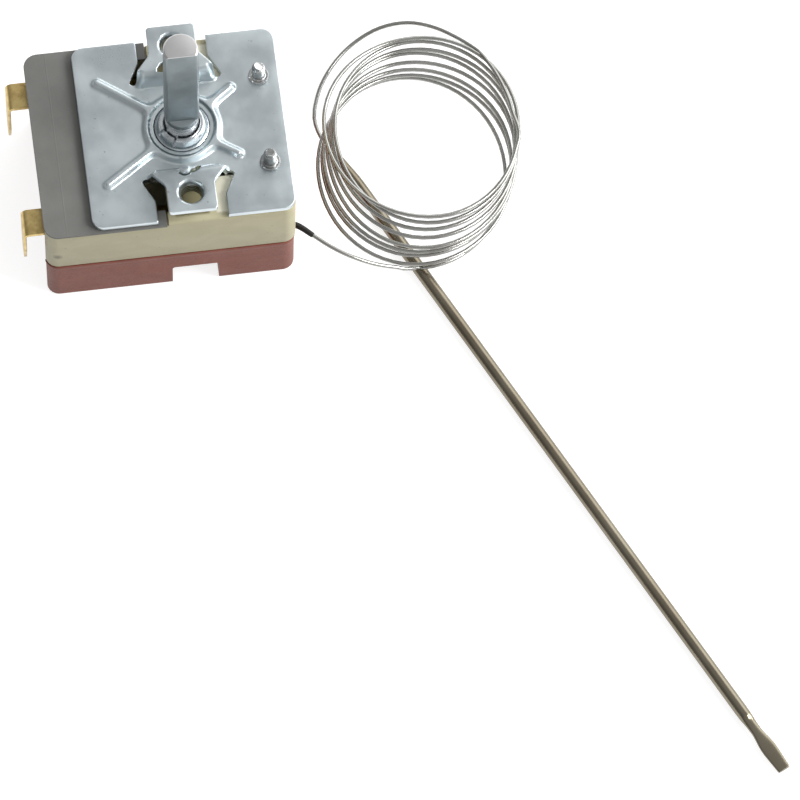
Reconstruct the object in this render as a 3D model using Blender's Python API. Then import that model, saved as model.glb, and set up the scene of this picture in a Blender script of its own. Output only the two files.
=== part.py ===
"""Capillary thermostat with a D-shaft spindle, a coiled capillary and a rod-shaped sensor bulb.

Units are metres and +Z is up. The origin is on the spindle's axis, at the base cover's underside.
+X points to the side where the capillary leaves, -X to the blade terminals, and -Y to the notched wall.
Pieces that touch keep SEAM between their faces.
"""

import math

import bmesh
import bpy
from mathutils import Matrix, Vector
from mathutils.geometry import delaunay_2d_cdt

# Fits
SEAM = 0.0003
CONTACT_SEAM = 0.0001
OVERCUT = 0.001
JOIN_DEPTH = 0.0005

# Body outline
BODY_LEFT = -0.0252
BODY_RIGHT = 0.0176
BODY_HALF_DEPTH = 0.0171
BODY_CORNER = 0.0032
LEAST_CORNER = 0.0006
WALL = 0.0022
SIDE_RECESS = 0.0005
SIDE_RECESS_INSET = 0.0036

# Base cover
BASE_HEIGHT = 0.01085
BASE_FLOOR = 0.0025
BASE_LIP_PROUD = 0.0001
BASE_DRAFT = 0.00015
BASE_EDGE_ROUND = 0.0006
LIP_WIDTH = 0.001
LIP_HEIGHT = 0.0006
NOTCH_WIDTH = 0.0078
NOTCH_HEIGHT = 0.0055
NOTCH_DEPTH = 0.003
NOTCH_WALL = 0.0014
NOTCH_CORNER = 0.0008
CAPSULE_SEAT_RADIUS = 0.004
CAPSULE_SEAT_RISE = 0.0006

# Upper housing
HOUSING_HEIGHT = 0.01195
HOUSING_FLOOR = 0.002
HOUSING_EDGE_ROUND = 0.0005
POST_INNER = 0.0035
POST_WIDTH = 0.0015
POST_LENGTH = 0.0032
POST_HEIGHT = 0.00605
PLUNGER_BOSS_RADIUS = 0.0033
PLUNGER_BOSS_HEIGHT = 0.001
LEDGE_THICKNESS = 0.0014
LEDGE_INNER_Y = 0.0092
LEDGE_SETBACK = 0.0002

# Insulating sheet
SHEET_THICKNESS = 0.0004
SHEET_LEFT = BODY_LEFT - 0.0001
SHEET_RIGHT = -0.0045
SHEET_HALF_DEPTH = BODY_HALF_DEPTH + 0.0004
SHEET_CORNER = 0.0024
SHEET_BUSH_CLEARANCE = 0.0008

# Mounting plate
PLATE_WIDTH = 0.0342
PLATE_DEPTH = 0.0342
PLATE_THICKNESS = 0.001
PLATE_CORNER = 0.003
EMBOSS_HEIGHT = 0.0009
EMBOSS_SLOPE = 0.0008
EMBOSS_BLEND = 0.0016
BOSS_LAND_RADIUS = 0.0061
RING_RADIUS = 0.0055
RING_STEP = 0.00035
RING_SLOPE = 0.0003
RIB_HALF_WIDTH = 0.00025
RIB_TIPS_LEFT = (-0.0136, 0.0094)
RIB_TIPS_RIGHT = (0.009, 0.006)
RIB_ROOT = 0.004
FORM_MARGIN = 0.0002
EDGE_MARGIN = 0.00012
LAND_RINGS = (0.0052, 0.006)
DRAWN_RINGS = (0.0, 0.35, 0.65, 0.85)

# Raised tabs on the mounting plate
TAB_RISE = 0.004
TAB_HALF_WIDTH = 0.00415
TAB_END = 0.0176
TAB_NECK_Y = 0.0124
LEG_FOOT_Y = 0.009
LEG_HEAD_Y = 0.0114
LEG_FOOT_OUTER = 0.0065
LEG_FOOT_INNER = 0.0034
SLOT_EDGE_X = 0.006
SLOT_KNEE_Y = 0.0131
SLOT_ROOT_X = 0.0078
SLOT_ROOT_Y = 0.0096
WINDOW_TOP_Y = 0.0105
WINDOW_TOP_HALF = 0.0016
WINDOW_FOOT_Y = 0.0086
WINDOW_FOOT_HALF = 0.0024
NIB_RADIUS = 0.0011
NIB_Y = 0.0088
NIB_NECK = 0.0004
WINDOW_SHOULDER = (0.0032, 0.0098)
SCREW_SPACING = 0.028
SCREW_HOLE_RADIUS = 0.00173
DRAWN_RADIUS = 0.00246
DRAWN_DEPTH = 0.0013
STEEPEST_WALL = 2.2

# Threaded bush
BUSH_RADIUS = 0.00465
BUSH_BORE = 0.0033
BUSH_CONE_HEIGHT = 0.0017
BUSH_CONE_RADIUS = 0.0037
BUSH_FLANGE_RADIUS = 0.0058
BUSH_FLANGE_HEIGHT = 0.0008
BUSH_TAIL = 0.0008
BUSH_MOUTH = (0.0001, 0.0002)
STAKE_ANGLES = (200.0, 245.0)
STAKE_WIDTH = 0.00045
STAKE_DEPTH = 0.0012
STOP_RIB_REACH = 0.0069
STOP_RIB_WIDTH = 0.002
STOP_RIB_DROP = 0.0015
STOP_RIB_ANGLE = 90.0

# Spindle
SPINDLE_RADIUS = 0.003
SPINDLE_TOP = 0.054
SPINDLE_CHAMFER = 0.0003
FLAT_OFFSET = 0.0015
FLAT_LENGTH = 0.0238
THREAD_RADIUS = 0.003
THREAD_ROOT = 0.00275
THREAD_PITCH = 0.00075
THREAD_TURNS = 3
THREAD_RUNOUT = 0.0006
SPINDLE_TIP_RADIUS = 0.002
SPINDLE_TIP_LENGTH = 0.0023

# Stop disc on the spindle
DISC_RADIUS = 0.0043
DISC_THICKNESS = 0.001
LUG_REACH = 0.0067
LUG_WIDTH = 0.0023
LUG_RISE = 0.0008
LUG_REST_ANGLE = 60.0

# Thrust cap
CAP_HEIGHT = 0.0018
CAP_FLOOR = 0.0008
CAP_DEPTH = 0.0058
CAP_CORNER = 0.0008

# Rivets and screw
RIVET_X = BODY_RIGHT - 0.0035
RIVET_Y = BODY_HALF_DEPTH - 0.0089
RIVET_RADIUS = 0.00125
RIVET_HEAD_RADIUS = 0.0029
RIVET_HEAD_HEIGHT = 0.0014
RIVET_SINK = 0.0005
RIVET_COLLAR_RADIUS = 0.00175
RIVET_COLLAR_HEIGHT = 0.0005
RIVET_STUD_HEIGHT = 0.0016
RIVET_TIP_RADIUS = 0.0007
RIVET_TIP_HEIGHT = 0.0003
RIVET_EDGE = 0.0003
STUD_INSET = 0.0001
COLUMN_RADIUS = 0.003
SCREW_X = BODY_LEFT + 0.0067
SCREW_DIMPLE = (0.0008, 0.0004)
SCREW_POINT = 0.0008
SCREW_RADIUS = 0.0012
SCREW_HEAD_RADIUS = 0.0026
SCREW_DEPTH = 0.0155
SCREW_BOSS_HEIGHT = 0.0038

# Terminals
TERMINAL_Y = BODY_HALF_DEPTH - 0.0051
TERMINAL_WIDTH = 0.0048
TERMINAL_THICKNESS = 0.0008
TERMINAL_EXIT_Z = 0.0188
TERMINAL_REACH = 0.0035
TERMINAL_DROP = 0.0108
TERMINAL_BEND = 0.0008
TERMINAL_TAPER = 0.0016
TERMINAL_TIP_WIDTH = 0.0034
JOG_START_X = BODY_LEFT + 0.0043
JOG_END_X = BODY_LEFT + 0.0072
STRIP_END_X = 0.0026
REAR_STRIP_Z = 0.0158
FRONT_STRIP_Z = 0.0148
PEDESTAL_LEFT = BODY_LEFT + 0.0087
PEDESTAL_FRONT_RIGHT = -0.0045
STRIP_RIVET_X = PEDESTAL_LEFT + 0.006
SMALL_RIVET_RADIUS = 0.001
SMALL_RIVET_HEAD = 0.0018
SMALL_RIVET_HEAD_HEIGHT = 0.0006
SMALL_RIVET_GRIP = 0.002

# Contact blade and its contacts
BLADE_THICKNESS = 0.0003
BLADE_WIDTH = 0.0052
BLADE_ROOT_OVERHANG = 0.002
BLADE_TIP_OVERHANG = 0.0018
BLADE_CORNER = 0.0012
BLADE_SLOT_WIDTH = 0.0006
BLADE_SLOT_OFFSET = 0.0014
BLADE_SLOT_LENGTH = 0.012
BUTTON_RADIUS = 0.0016
BUTTON_HEIGHT = 0.0004
BUTTON_SHANK = 0.0007
BUTTON_HEAD = 0.0012

# Plunger and capsule
PLUNGER_RADIUS = 0.0015
PLUNGER_NOSE = 0.0006
PLUNGER_NOSE_SHARE = 0.6
CAPSULE_RADIUS = 0.0095
CAPSULE_RIM = 0.0008
CAPSULE_RIM_WIDTH = 0.0012
CAPSULE_DISH = 0.001
CAPSULE_WAVE = 0.0003
CAPSULE_WAVES = 2
CAPSULE_BUTTON_RADIUS = 0.0025
CAPSULE_BUTTON_HEIGHT = 0.0012
CAPSULE_BUTTON_EDGE = 0.0003
CAPSULE_STUB_RADIUS = 0.002
CAPSULE_STUB_LENGTH = 0.0019

# Capillary, sleeve and sensor bulb
CAPILLARY_RADIUS = 0.00035
EXIT_Y = -BODY_HALF_DEPTH + 0.0039
EXIT_Z = 0.0096
EXIT_RADIUS = 0.0009
SLEEVE_RADIUS = 0.0006
SLEEVE_TIP_RADIUS = 0.00044
COIL_TURNS = 8
COIL_RADIUS_X = 0.0161
COIL_RADIUS_Y = 0.0172
COIL_START = (0.039, -0.0032, 0.0033)
COIL_DRIFT = (0.00047, 0.00083, 0.0009)
COIL_TILT = 0.106
COIL_SKEW = 0.049
COIL_SLACK = 0.0006
COIL_FACETS = 48
BULB_RADIUS = 0.00125
BULB_LENGTH = 0.1195
BULB_START = (0.03, -0.0032)
BULB_HEADING = (0.44, -0.898)
BULB_FLOOR_GAP = 0.00003
BULB_NECK_LENGTH = 0.0086
BULB_FACETS = 16

# Routes of the capillary, chosen by hand
INNER_ROUTE = (
    (0.0064, -0.0074, 0.0051),
    (0.0092, -0.0106, 0.0056),
    (0.0120, EXIT_Y + 0.0005, 0.0080),
    (0.0146, EXIT_Y + 0.0001, EXIT_Z),
)
SLEEVE_ROUTE = (
    (0.015, EXIT_Y + 0.0001, EXIT_Z),
    (0.0171, EXIT_Y, EXIT_Z),
    (0.0185, EXIT_Y - 0.0006, EXIT_Z),
    (0.0206, EXIT_Y - 0.0025, EXIT_Z - 0.0001),
)
LEAD_ROUTE = (
    (0.0209, EXIT_Y - 0.0028, EXIT_Z - 0.0002),
    (0.0232, -0.0179, 0.009),
    (0.0264, -0.0197, 0.0079),
    (0.0305, -0.0211, 0.0062),
    (0.0346, -0.0219, 0.0045),
    (0.0388, -0.0219, 0.0035),
)
TAIL_ROUTE = (
    (0.0516, 0.0193, 0.0061),
    (0.0506, 0.0206, 0.0056),
    (0.0467, 0.0241, 0.0043),
    (0.0423, 0.0262, 0.0032),
    (0.0374, 0.0263, 0.0023),
    (0.0329, 0.0244, 0.0016),
    (0.029, 0.0213, 0.0011),
    (0.0258, 0.0169, 0.00085),
    (0.0241, 0.0123, 0.00085),
    (0.0239, 0.0094, 0.00095),
    (0.0246, 0.0069, 0.00115),
    (0.02602, 0.00492, 0.00128),
)

# Heights worked out from the sizes above
HOUSING_BOTTOM = BASE_HEIGHT + SEAM
HOUSING_TOP = HOUSING_BOTTOM + HOUSING_HEIGHT
HOUSING_FLOOR_TOP = HOUSING_BOTTOM + HOUSING_FLOOR
PLATE_BOTTOM = HOUSING_TOP + SEAM
PLATE_TOP = PLATE_BOTTOM + PLATE_THICKNESS
SHEET_TOP = PLATE_BOTTOM - SEAM
SHEET_BOTTOM = SHEET_TOP - SHEET_THICKNESS
SHEET_SEAT = SHEET_BOTTOM - SEAM
BUSH_SHOULDER = PLATE_TOP + EMBOSS_HEIGHT - RING_STEP
BUSH_FLANGE_TOP = PLATE_BOTTOM - SEAM
BUSH_FLANGE_BOTTOM = BUSH_FLANGE_TOP - BUSH_FLANGE_HEIGHT
BUSH_BOTTOM = BUSH_FLANGE_BOTTOM - BUSH_TAIL
DISC_TOP = BUSH_BOTTOM - SEAM
DISC_BOTTOM = DISC_TOP - DISC_THICKNESS
CAP_TOP = DISC_BOTTOM - SEAM
CAP_BOTTOM = CAP_TOP - CAP_HEIGHT
REAR_STRIP_TOP = REAR_STRIP_Z + TERMINAL_THICKNESS / 2
FRONT_STRIP_TOP = FRONT_STRIP_Z + TERMINAL_THICKNESS / 2
BLADE_BOTTOM = REAR_STRIP_TOP + SEAM
BLADE_TOP = BLADE_BOTTOM + BLADE_THICKNESS
CAPSULE_FLOOR = BASE_FLOOR + CAPSULE_SEAT_RISE + SEAM
CAPSULE_MIDDLE = CAPSULE_FLOOR + CAPSULE_DISH + CAPSULE_WAVE + CAPSULE_RIM / 2
CAPSULE_BUTTON_TOP = CAPSULE_MIDDLE + CAPSULE_RIM / 2 + CAPSULE_DISH + CAPSULE_BUTTON_HEIGHT
PEDESTAL_HALF = TERMINAL_WIDTH / 2 + SEAM
PLATE_GRID = 0.00075
PLATE_ROUND = 36
HOLE_ROUND = 20
CORNER_STEPS = 4
SHOWN_ROUND = 28
BORE_ROUND = 16
HIDDEN_ROUND = 16
SEAT_ROUND = 20


def clear_scene():
    """Remove every object, so that the model starts from nothing."""
    for leftover in list(bpy.data.objects):
        bpy.data.objects.remove(leftover, do_unlink=True)


def make_material(name, colour, roughness, metallic):
    """Return a Principled material with the given colour, roughness and metallic value."""
    material = bpy.data.materials.new(name)
    material.use_nodes = True
    shader = material.node_tree.nodes["Principled BSDF"]
    shader.inputs["Base Color"].default_value = (*colour, 1.0)
    shader.inputs["Roughness"].default_value = roughness
    shader.inputs["Metallic"].default_value = metallic
    material.diffuse_color = (*colour, 1.0)
    return material


def add_object(name, data, material, parent, origin=(0.0, 0.0, 0.0)):
    """Link mesh or curve data as an object whose origin is the given world point."""
    piece = bpy.data.objects.new(name, data)
    data.materials.append(material)
    bpy.context.scene.collection.objects.link(piece)
    piece.parent = parent
    piece.location = origin
    return piece


def finish_mesh(bm, name, material, parent, origin=(0.0, 0.0, 0.0), smooth=True):
    """Turn a bmesh made in world coordinates into an object with its faces pointing out."""
    bmesh.ops.remove_doubles(bm, verts=bm.verts, dist=1e-7)
    bmesh.ops.recalc_face_normals(bm, faces=bm.faces)
    bmesh.ops.transform(bm, matrix=Matrix.Translation(-Vector(origin)), verts=bm.verts)
    mesh = bpy.data.meshes.new(name)
    bm.to_mesh(mesh)
    bm.free()
    if smooth:
        mesh.shade_smooth()
        mesh.set_sharp_from_angle(angle=math.radians(32))
    return add_object(name, mesh, material, parent, origin)


def turned_mesh(profile, centre=(0.0, 0.0), steps=SHOWN_ROUND):
    """Spin a profile of (radius, height) points round a vertical axis through centre.

    A profile that starts and ends on the axis makes a solid; any other one is closed into a ring.
    """
    bm = bmesh.new()
    verts = [bm.verts.new((centre[0] + radius, centre[1], height)) for radius, height in profile]
    edges = [bm.edges.new(pair) for pair in zip(verts, verts[1:])]
    if profile[0][0] > 0 or profile[-1][0] > 0:
        edges.append(bm.edges.new((verts[-1], verts[0])))
    bmesh.ops.spin(
        bm, geom=verts + edges, cent=(*centre, 0.0), axis=(0.0, 0.0, 1.0),
        angle=2 * math.pi, steps=steps, use_merge=True,
    )
    bmesh.ops.remove_doubles(bm, verts=bm.verts, dist=1e-7)
    return bm


def lofted_mesh(layers):
    """Join outlines of equal length, each given with its height, into one closed body."""
    bm = bmesh.new()
    rings = [[bm.verts.new((x, y, height)) for x, y in outline] for outline, height in layers]
    count = len(rings[0])
    for lower, upper in zip(rings, rings[1:]):
        for i in range(count):
            j = (i + 1) % count
            bm.faces.new((lower[i], lower[j], upper[j], upper[i]))
    bm.faces.new(rings[0])
    bm.faces.new(rings[-1])
    return bm


def extruded_mesh(outline, bottom, top):
    """Return a straight prism of an outline between two heights."""
    return lofted_mesh([(outline, bottom), (outline, top)])


def arc(centre, radius, start, end, steps):
    """Return points of a circular arc, with its angles in degrees."""
    points = []
    for i in range(steps + 1):
        angle = math.radians(start + (end - start) * i / steps)
        points.append((centre[0] + radius * math.cos(angle), centre[1] + radius * math.sin(angle)))
    return points


def circle(centre, radius, steps):
    """Return the points of a full circle."""
    return arc(centre, radius, 0.0, 360.0 - 360.0 / steps, steps - 1)


def rounded_rectangle(left, right, front, back, radius, steps=CORNER_STEPS):
    """Return an outline with four equal round corners, anticlockwise from the front left."""
    return (
        arc((left + radius, front + radius), radius, 180.0, 270.0, steps)
        + arc((right - radius, front + radius), radius, 270.0, 360.0, steps)
        + arc((right - radius, back - radius), radius, 0.0, 90.0, steps)
        + arc((left + radius, back - radius), radius, 90.0, 180.0, steps)
    )


def body_outline(inset):
    """Return the body's outline, moved in by inset on every side."""
    return rounded_rectangle(
        BODY_LEFT + inset, BODY_RIGHT - inset, -BODY_HALF_DEPTH + inset, BODY_HALF_DEPTH - inset,
        max(BODY_CORNER - inset, LEAST_CORNER),
    )


def side_recess(bottom, top):
    """Return the shallow recess in the body's terminal side, between its corners."""
    half = BODY_HALF_DEPTH - SIDE_RECESS_INSET
    return box_mesh((BODY_LEFT - OVERCUT, -half, bottom), (BODY_LEFT + SIDE_RECESS, half, top))


def box_mesh(low, high):
    """Return a box between two corner points."""
    outline = [(low[0], low[1]), (high[0], low[1]), (high[0], high[1]), (low[0], high[1])]
    return extruded_mesh(outline, low[2], high[2])


def modify(target, bm, operation, label):
    """Cut a helper body from the target, or join it on, with an exact Boolean."""
    bmesh.ops.recalc_face_normals(bm, faces=bm.faces)
    mesh = bpy.data.meshes.new(label)
    bm.to_mesh(mesh)
    bm.free()
    helper = bpy.data.objects.new(label, mesh)
    bpy.context.scene.collection.objects.link(helper)
    helper.parent = target.parent
    helper.hide_render = True
    helper.display_type = "WIRE"
    modifier = target.modifiers.new(label, "BOOLEAN")
    modifier.operation = operation
    modifier.solver = "EXACT"
    modifier.object = helper


def cut(target, bm, label):
    """Cut a helper body from the target."""
    modify(target, bm, "DIFFERENCE", "cutter " + label)


def join(target, bm, label):
    """Join a helper body to the target."""
    modify(target, bm, "UNION", "joined " + label)


def cylinder_mesh(centre, radius, bottom, top, steps=BORE_ROUND):
    """Return an upright cylinder."""
    return extruded_mesh(circle(centre, radius, steps), bottom, top)


def smooth_step(value):
    """Ease from 0 to 1 with level ends."""
    value = min(max(value, 0.0), 1.0)
    return value * value * (3.0 - 2.0 * value)


def smooth_minimum(a, b, blend):
    """Return the lesser of two distances, with a round fillet where they are close."""
    share = max(blend - abs(a - b), 0.0) / blend
    return min(a, b) - share * share * blend / 4.0


def distance_to_segment(x, y, start, end):
    """Return the distance in plan from a point to a straight segment."""
    along_x, along_y = end[0] - start[0], end[1] - start[1]
    share = ((x - start[0]) * along_x + (y - start[1]) * along_y) / (along_x ** 2 + along_y ** 2)
    share = min(max(share, 0.0), 1.0)
    return math.hypot(x - start[0] - share * along_x, y - start[1] - share * along_y)


def rib_segments():
    """Return the four ribs' centre lines, from inside the boss to each rib's tip."""
    segments = []
    for tip_x, tip_y in (RIB_TIPS_LEFT, RIB_TIPS_RIGHT):
        for side in (-1.0, 1.0):
            reach = math.hypot(tip_x, tip_y)
            root = (tip_x / reach * RIB_ROOT, side * tip_y / reach * RIB_ROOT)
            segments.append((root, (tip_x, side * tip_y)))
    return segments


RIBS = rib_segments()


def emboss_distance(x, y):
    """Return the distance in plan to the top land of the boss and its ribs."""
    distance = math.hypot(x, y) - BOSS_LAND_RADIUS
    for start, end in RIBS:
        rib = distance_to_segment(x, y, start, end) - RIB_HALF_WIDTH
        distance = smooth_minimum(distance, rib, EMBOSS_BLEND)
    return distance


def tongue_limit(y):
    """Return the half width in plan, measured in the middle of the slots, of the raised tongue at y."""
    slot_middle = (SLOT_EDGE_X + TAB_HALF_WIDTH) / 2
    root_middle = (SLOT_ROOT_X + LEG_FOOT_OUTER) / 2
    share = (abs(y) - SLOT_ROOT_Y) / (SLOT_KNEE_Y - SLOT_ROOT_Y)
    share = min(max(share, 0.0), 1.0)
    return root_middle + (slot_middle - root_middle) * share


def plate_form(x, y):
    """Return the height that the die gives the sheet at a point, over the flat plate."""
    height = EMBOSS_HEIGHT * smooth_step(1.0 - emboss_distance(x, y) / EMBOSS_SLOPE)
    if abs(y) > LEG_FOOT_Y and abs(x) < tongue_limit(y):
        height += TAB_RISE * smooth_step((abs(y) - LEG_FOOT_Y) / (LEG_HEAD_Y - LEG_FOOT_Y))
        hole_distance = math.hypot(x, abs(y) - SCREW_SPACING / 2)
        share = (DRAWN_RADIUS - hole_distance) / (DRAWN_RADIUS - SCREW_HOLE_RADIUS)
        height -= DRAWN_DEPTH * max(share, 0.0) ** 2
    return height


def plate_upper_skin(x, y):
    """Return the height of the upper skin, with the ring coined round the bush."""
    ring = RING_STEP * smooth_step((RING_RADIUS - math.hypot(x, y)) / RING_SLOPE + 0.5)
    return PLATE_TOP + plate_form(x, y) - ring


def plate_lower_skin(x, y):
    """Return the height of the lower skin, which keeps the sheet's true thickness on a slope."""
    step = 0.00002
    slope_x = (plate_form(x + step, y) - plate_form(x - step, y)) / (2 * step)
    slope_y = (plate_form(x, y + step) - plate_form(x, y - step)) / (2 * step)
    wall = PLATE_THICKNESS * min(math.sqrt(1.0 + slope_x ** 2 + slope_y ** 2), STEEPEST_WALL)
    return max(PLATE_TOP + plate_form(x, y) - wall, PLATE_BOTTOM)


def plate_outline():
    """Return the blank's outline, with the two slots beside each raised tab."""
    half_width, half_depth = PLATE_WIDTH / 2, PLATE_DEPTH / 2
    root_x = (SLOT_ROOT_X + LEG_FOOT_OUTER) / 2
    root_radius = (SLOT_ROOT_X - LEG_FOOT_OUTER) / 2
    half_slot = [(SLOT_EDGE_X, -half_depth), (SLOT_EDGE_X, -SLOT_KNEE_Y)]
    half_slot += arc((root_x, -SLOT_ROOT_Y), root_radius, 0.0, 180.0, 6)
    half_slot += [(TAB_HALF_WIDTH, -TAB_NECK_Y), (TAB_HALF_WIDTH, -TAB_END)]
    front = [(-x, y) for x, y in half_slot] + half_slot[::-1]
    corner = PLATE_CORNER
    left_front = arc((-half_width + corner, -half_depth + corner), corner, 180.0, 270.0, 6)
    right_front = arc((half_width - corner, -half_depth + corner), corner, 270.0, 360.0, 6)
    front_half = left_front + front + right_front
    return front_half + [(-x, -y) for x, y in front_half]


def window_outline(side):
    """Return the window between a tab's legs, with the round nib that stands into it."""
    half = [
        (WINDOW_TOP_HALF, WINDOW_TOP_Y),
        WINDOW_SHOULDER,
        (LEG_FOOT_INNER, LEG_FOOT_Y),
        (WINDOW_FOOT_HALF, WINDOW_FOOT_Y),
        (NIB_RADIUS + NIB_NECK, WINDOW_FOOT_Y - NIB_NECK / 2),
    ]
    nib = arc((0.0, NIB_Y), NIB_RADIUS, -10.0, 190.0, 8)
    outline = half + nib + [(-x, y) for x, y in reversed(half)]
    return [(x, side * y) for x, y in outline]


def inside(x, y, outline):
    """Tell whether a point lies inside an outline."""
    result = False
    previous = outline[-1]
    for current in outline:
        if (current[1] > y) != (previous[1] > y):
            slope = (previous[0] - current[0]) / (previous[1] - current[1])
            if x < current[0] + (y - current[1]) * slope:
                result = not result
        previous = current
    return result


def on_sheet(x, y, outlines):
    """Tell whether a point lies on the blank and not in one of its holes."""
    if not inside(x, y, outlines[0]):
        return False
    return not any(inside(x, y, hole) for hole in outlines[1:])


def clear_of_edges(x, y, outlines, margin):
    """Tell whether a point keeps a margin from every edge of the blank."""
    for outline in outlines:
        previous = outline[-1]
        for current in outline:
            if distance_to_segment(x, y, previous, current) < margin:
                return False
            previous = current
    return True


def plate_inner_points(outlines):
    """Return points inside the blank, close together where the sheet is formed."""
    points = []
    for radius in (*LAND_RINGS, RING_RADIUS - RING_SLOPE / 2, RING_RADIUS + RING_SLOPE / 2):
        points += circle((0.0, 0.0), radius, PLATE_ROUND)
    for side in (-1.0, 1.0):
        for share in DRAWN_RINGS:
            radius = DRAWN_RADIUS + (SCREW_HOLE_RADIUS - DRAWN_RADIUS) * share
            points += circle((0.0, side * SCREW_SPACING / 2), radius, HOLE_ROUND)
    rows = int(PLATE_DEPTH / 2 / (PLATE_GRID * math.sqrt(0.75)))
    columns = int(PLATE_WIDTH / 2 / PLATE_GRID) + 1
    for row in range(-rows, rows + 1):
        y = row * PLATE_GRID * math.sqrt(0.75)
        shift = PLATE_GRID / 2 if row % 2 else 0.0
        for column in range(-columns, columns + 1):
            x = column * PLATE_GRID + shift
            slope = emboss_distance(x, y)
            sloping = -FORM_MARGIN < slope < EMBOSS_SLOPE + FORM_MARGIN
            formed = sloping and math.hypot(x, y) > LAND_RINGS[-1] + FORM_MARGIN
            on_leg = LEG_FOOT_Y - FORM_MARGIN < abs(y) < LEG_HEAD_Y + FORM_MARGIN
            leg = on_leg and abs(x) < tongue_limit(y)
            if formed or leg:
                points.append((x, y))
    kept = []
    for x, y in points:
        if on_sheet(x, y, outlines) and clear_of_edges(x, y, outlines, EDGE_MARGIN):
            kept.append((x, y))
    return kept


def build_mounting_plate(material, parent):
    """Press the plate: triangulate the blank, lift each point by the die's form and give it a wall."""
    outlines = [plate_outline()]
    outlines.append(circle((0.0, 0.0), BUSH_RADIUS + SEAM, PLATE_ROUND))
    for side in (-1.0, 1.0):
        outlines.append(window_outline(side))
        outlines.append(circle((0.0, side * SCREW_SPACING / 2), SCREW_HOLE_RADIUS, HOLE_ROUND))
        outlines.append(circle((RIVET_X, side * RIVET_Y), RIVET_RADIUS + SEAM, BORE_ROUND))
    points = []
    edges = []
    for outline in outlines:
        first = len(points)
        points += outline
        edges += [(first + i, first + (i + 1) % len(outline)) for i in range(len(outline))]
    points += plate_inner_points(outlines)
    flat = [Vector(point) for point in points]
    verts, _, faces, _, _, _ = delaunay_2d_cdt(flat, edges, [], 0, 1e-7)
    bm = bmesh.new()
    upper = []
    lower = []
    for vert in verts:
        upper.append(bm.verts.new((vert.x, vert.y, plate_upper_skin(vert.x, vert.y))))
        lower.append(bm.verts.new((vert.x, vert.y, plate_lower_skin(vert.x, vert.y))))
    for face in faces:
        middle = sum((verts[i] for i in face), Vector((0.0, 0.0))) / len(face)
        if on_sheet(middle.x, middle.y, outlines):
            bm.faces.new([upper[i] for i in face])
            bm.faces.new([lower[i] for i in reversed(face)])
    index = {vert: i for i, vert in enumerate(upper)}
    for edge in [edge for edge in bm.edges if edge.is_boundary and edge.verts[0] in index]:
        a, b = (index[vert] for vert in edge.verts)
        bm.faces.new((upper[a], upper[b], lower[b], lower[a]))
    bmesh.ops.delete(bm, geom=[vert for vert in bm.verts if not vert.link_faces], context="VERTS")
    return finish_mesh(bm, "mounting_plate", material, parent)


def sector_box(angle, inner, outer, width, bottom, top):
    """Return a box that reaches out from the spindle's axis at an angle in degrees."""
    bm = box_mesh((inner, -width / 2, bottom), (outer, width / 2, top))
    turn = Matrix.Rotation(math.radians(angle), 3, "Z")
    bmesh.ops.rotate(bm, cent=(0, 0, 0), matrix=turn, verts=bm.verts)
    return bm


def build_bush(material, parent):
    """Turn the bush, stake its cone and add the rib that stops the spindle."""
    top = BUSH_SHOULDER + BUSH_CONE_HEIGHT
    profile = [
        (BUSH_BORE, BUSH_BOTTOM),
        (BUSH_RADIUS, BUSH_BOTTOM),
        (BUSH_RADIUS, BUSH_FLANGE_BOTTOM),
        (BUSH_FLANGE_RADIUS, BUSH_FLANGE_BOTTOM),
        (BUSH_FLANGE_RADIUS, BUSH_FLANGE_TOP),
        (BUSH_RADIUS, BUSH_FLANGE_TOP),
        (BUSH_RADIUS, BUSH_SHOULDER),
        (BUSH_CONE_RADIUS, top),
        (BUSH_BORE + BUSH_MOUTH[0], top),
        (BUSH_BORE, top - BUSH_MOUTH[1]),
    ]
    bush = finish_mesh(turned_mesh(profile), "threaded_bush", material, parent)
    for angle in STAKE_ANGLES:
        inner, outer = BUSH_BORE - JOIN_DEPTH, BUSH_RADIUS + OVERCUT
        slit = sector_box(angle, inner, outer, STAKE_WIDTH, top - STAKE_DEPTH, top + OVERCUT)
        cut(bush, slit, "stake slit")
    rib = sector_box(
        STOP_RIB_ANGLE, BUSH_RADIUS, STOP_RIB_REACH, STOP_RIB_WIDTH,
        BUSH_FLANGE_BOTTOM - STOP_RIB_DROP, BUSH_FLANGE_BOTTOM + JOIN_DEPTH,
    )
    join(bush, rib, "stop rib")
    return bush


def build_spindle(material, parent):
    """Turn the spindle with its threaded foot and mill its flat."""
    flat_end = SPINDLE_TOP - FLAT_LENGTH
    thread_top = flat_end - THREAD_RUNOUT
    profile = [
        (0.0, BUSH_BOTTOM - SPINDLE_TIP_LENGTH),
        (SPINDLE_TIP_RADIUS, BUSH_BOTTOM - SPINDLE_TIP_LENGTH),
        (SPINDLE_TIP_RADIUS, BUSH_BOTTOM),
        (THREAD_RADIUS, BUSH_BOTTOM),
    ]
    for turn in range(THREAD_TURNS, 0, -1):
        crest = thread_top - turn * THREAD_PITCH
        profile.append((THREAD_RADIUS, crest))
        profile.append((THREAD_ROOT, crest + THREAD_PITCH / 2))
    profile += [
        (THREAD_RADIUS, thread_top),
        (SPINDLE_RADIUS, SPINDLE_TOP - SPINDLE_CHAMFER),
        (SPINDLE_RADIUS - SPINDLE_CHAMFER, SPINDLE_TOP),
        (0.0, SPINDLE_TOP),
    ]
    spindle = finish_mesh(turned_mesh(profile), "spindle", material, parent)
    wide = SPINDLE_RADIUS + OVERCUT
    flat = box_mesh((-wide, -wide, flat_end), (wide, -FLAT_OFFSET, SPINDLE_TOP + OVERCUT))
    cut(spindle, flat, "spindle flat")
    return spindle


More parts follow.
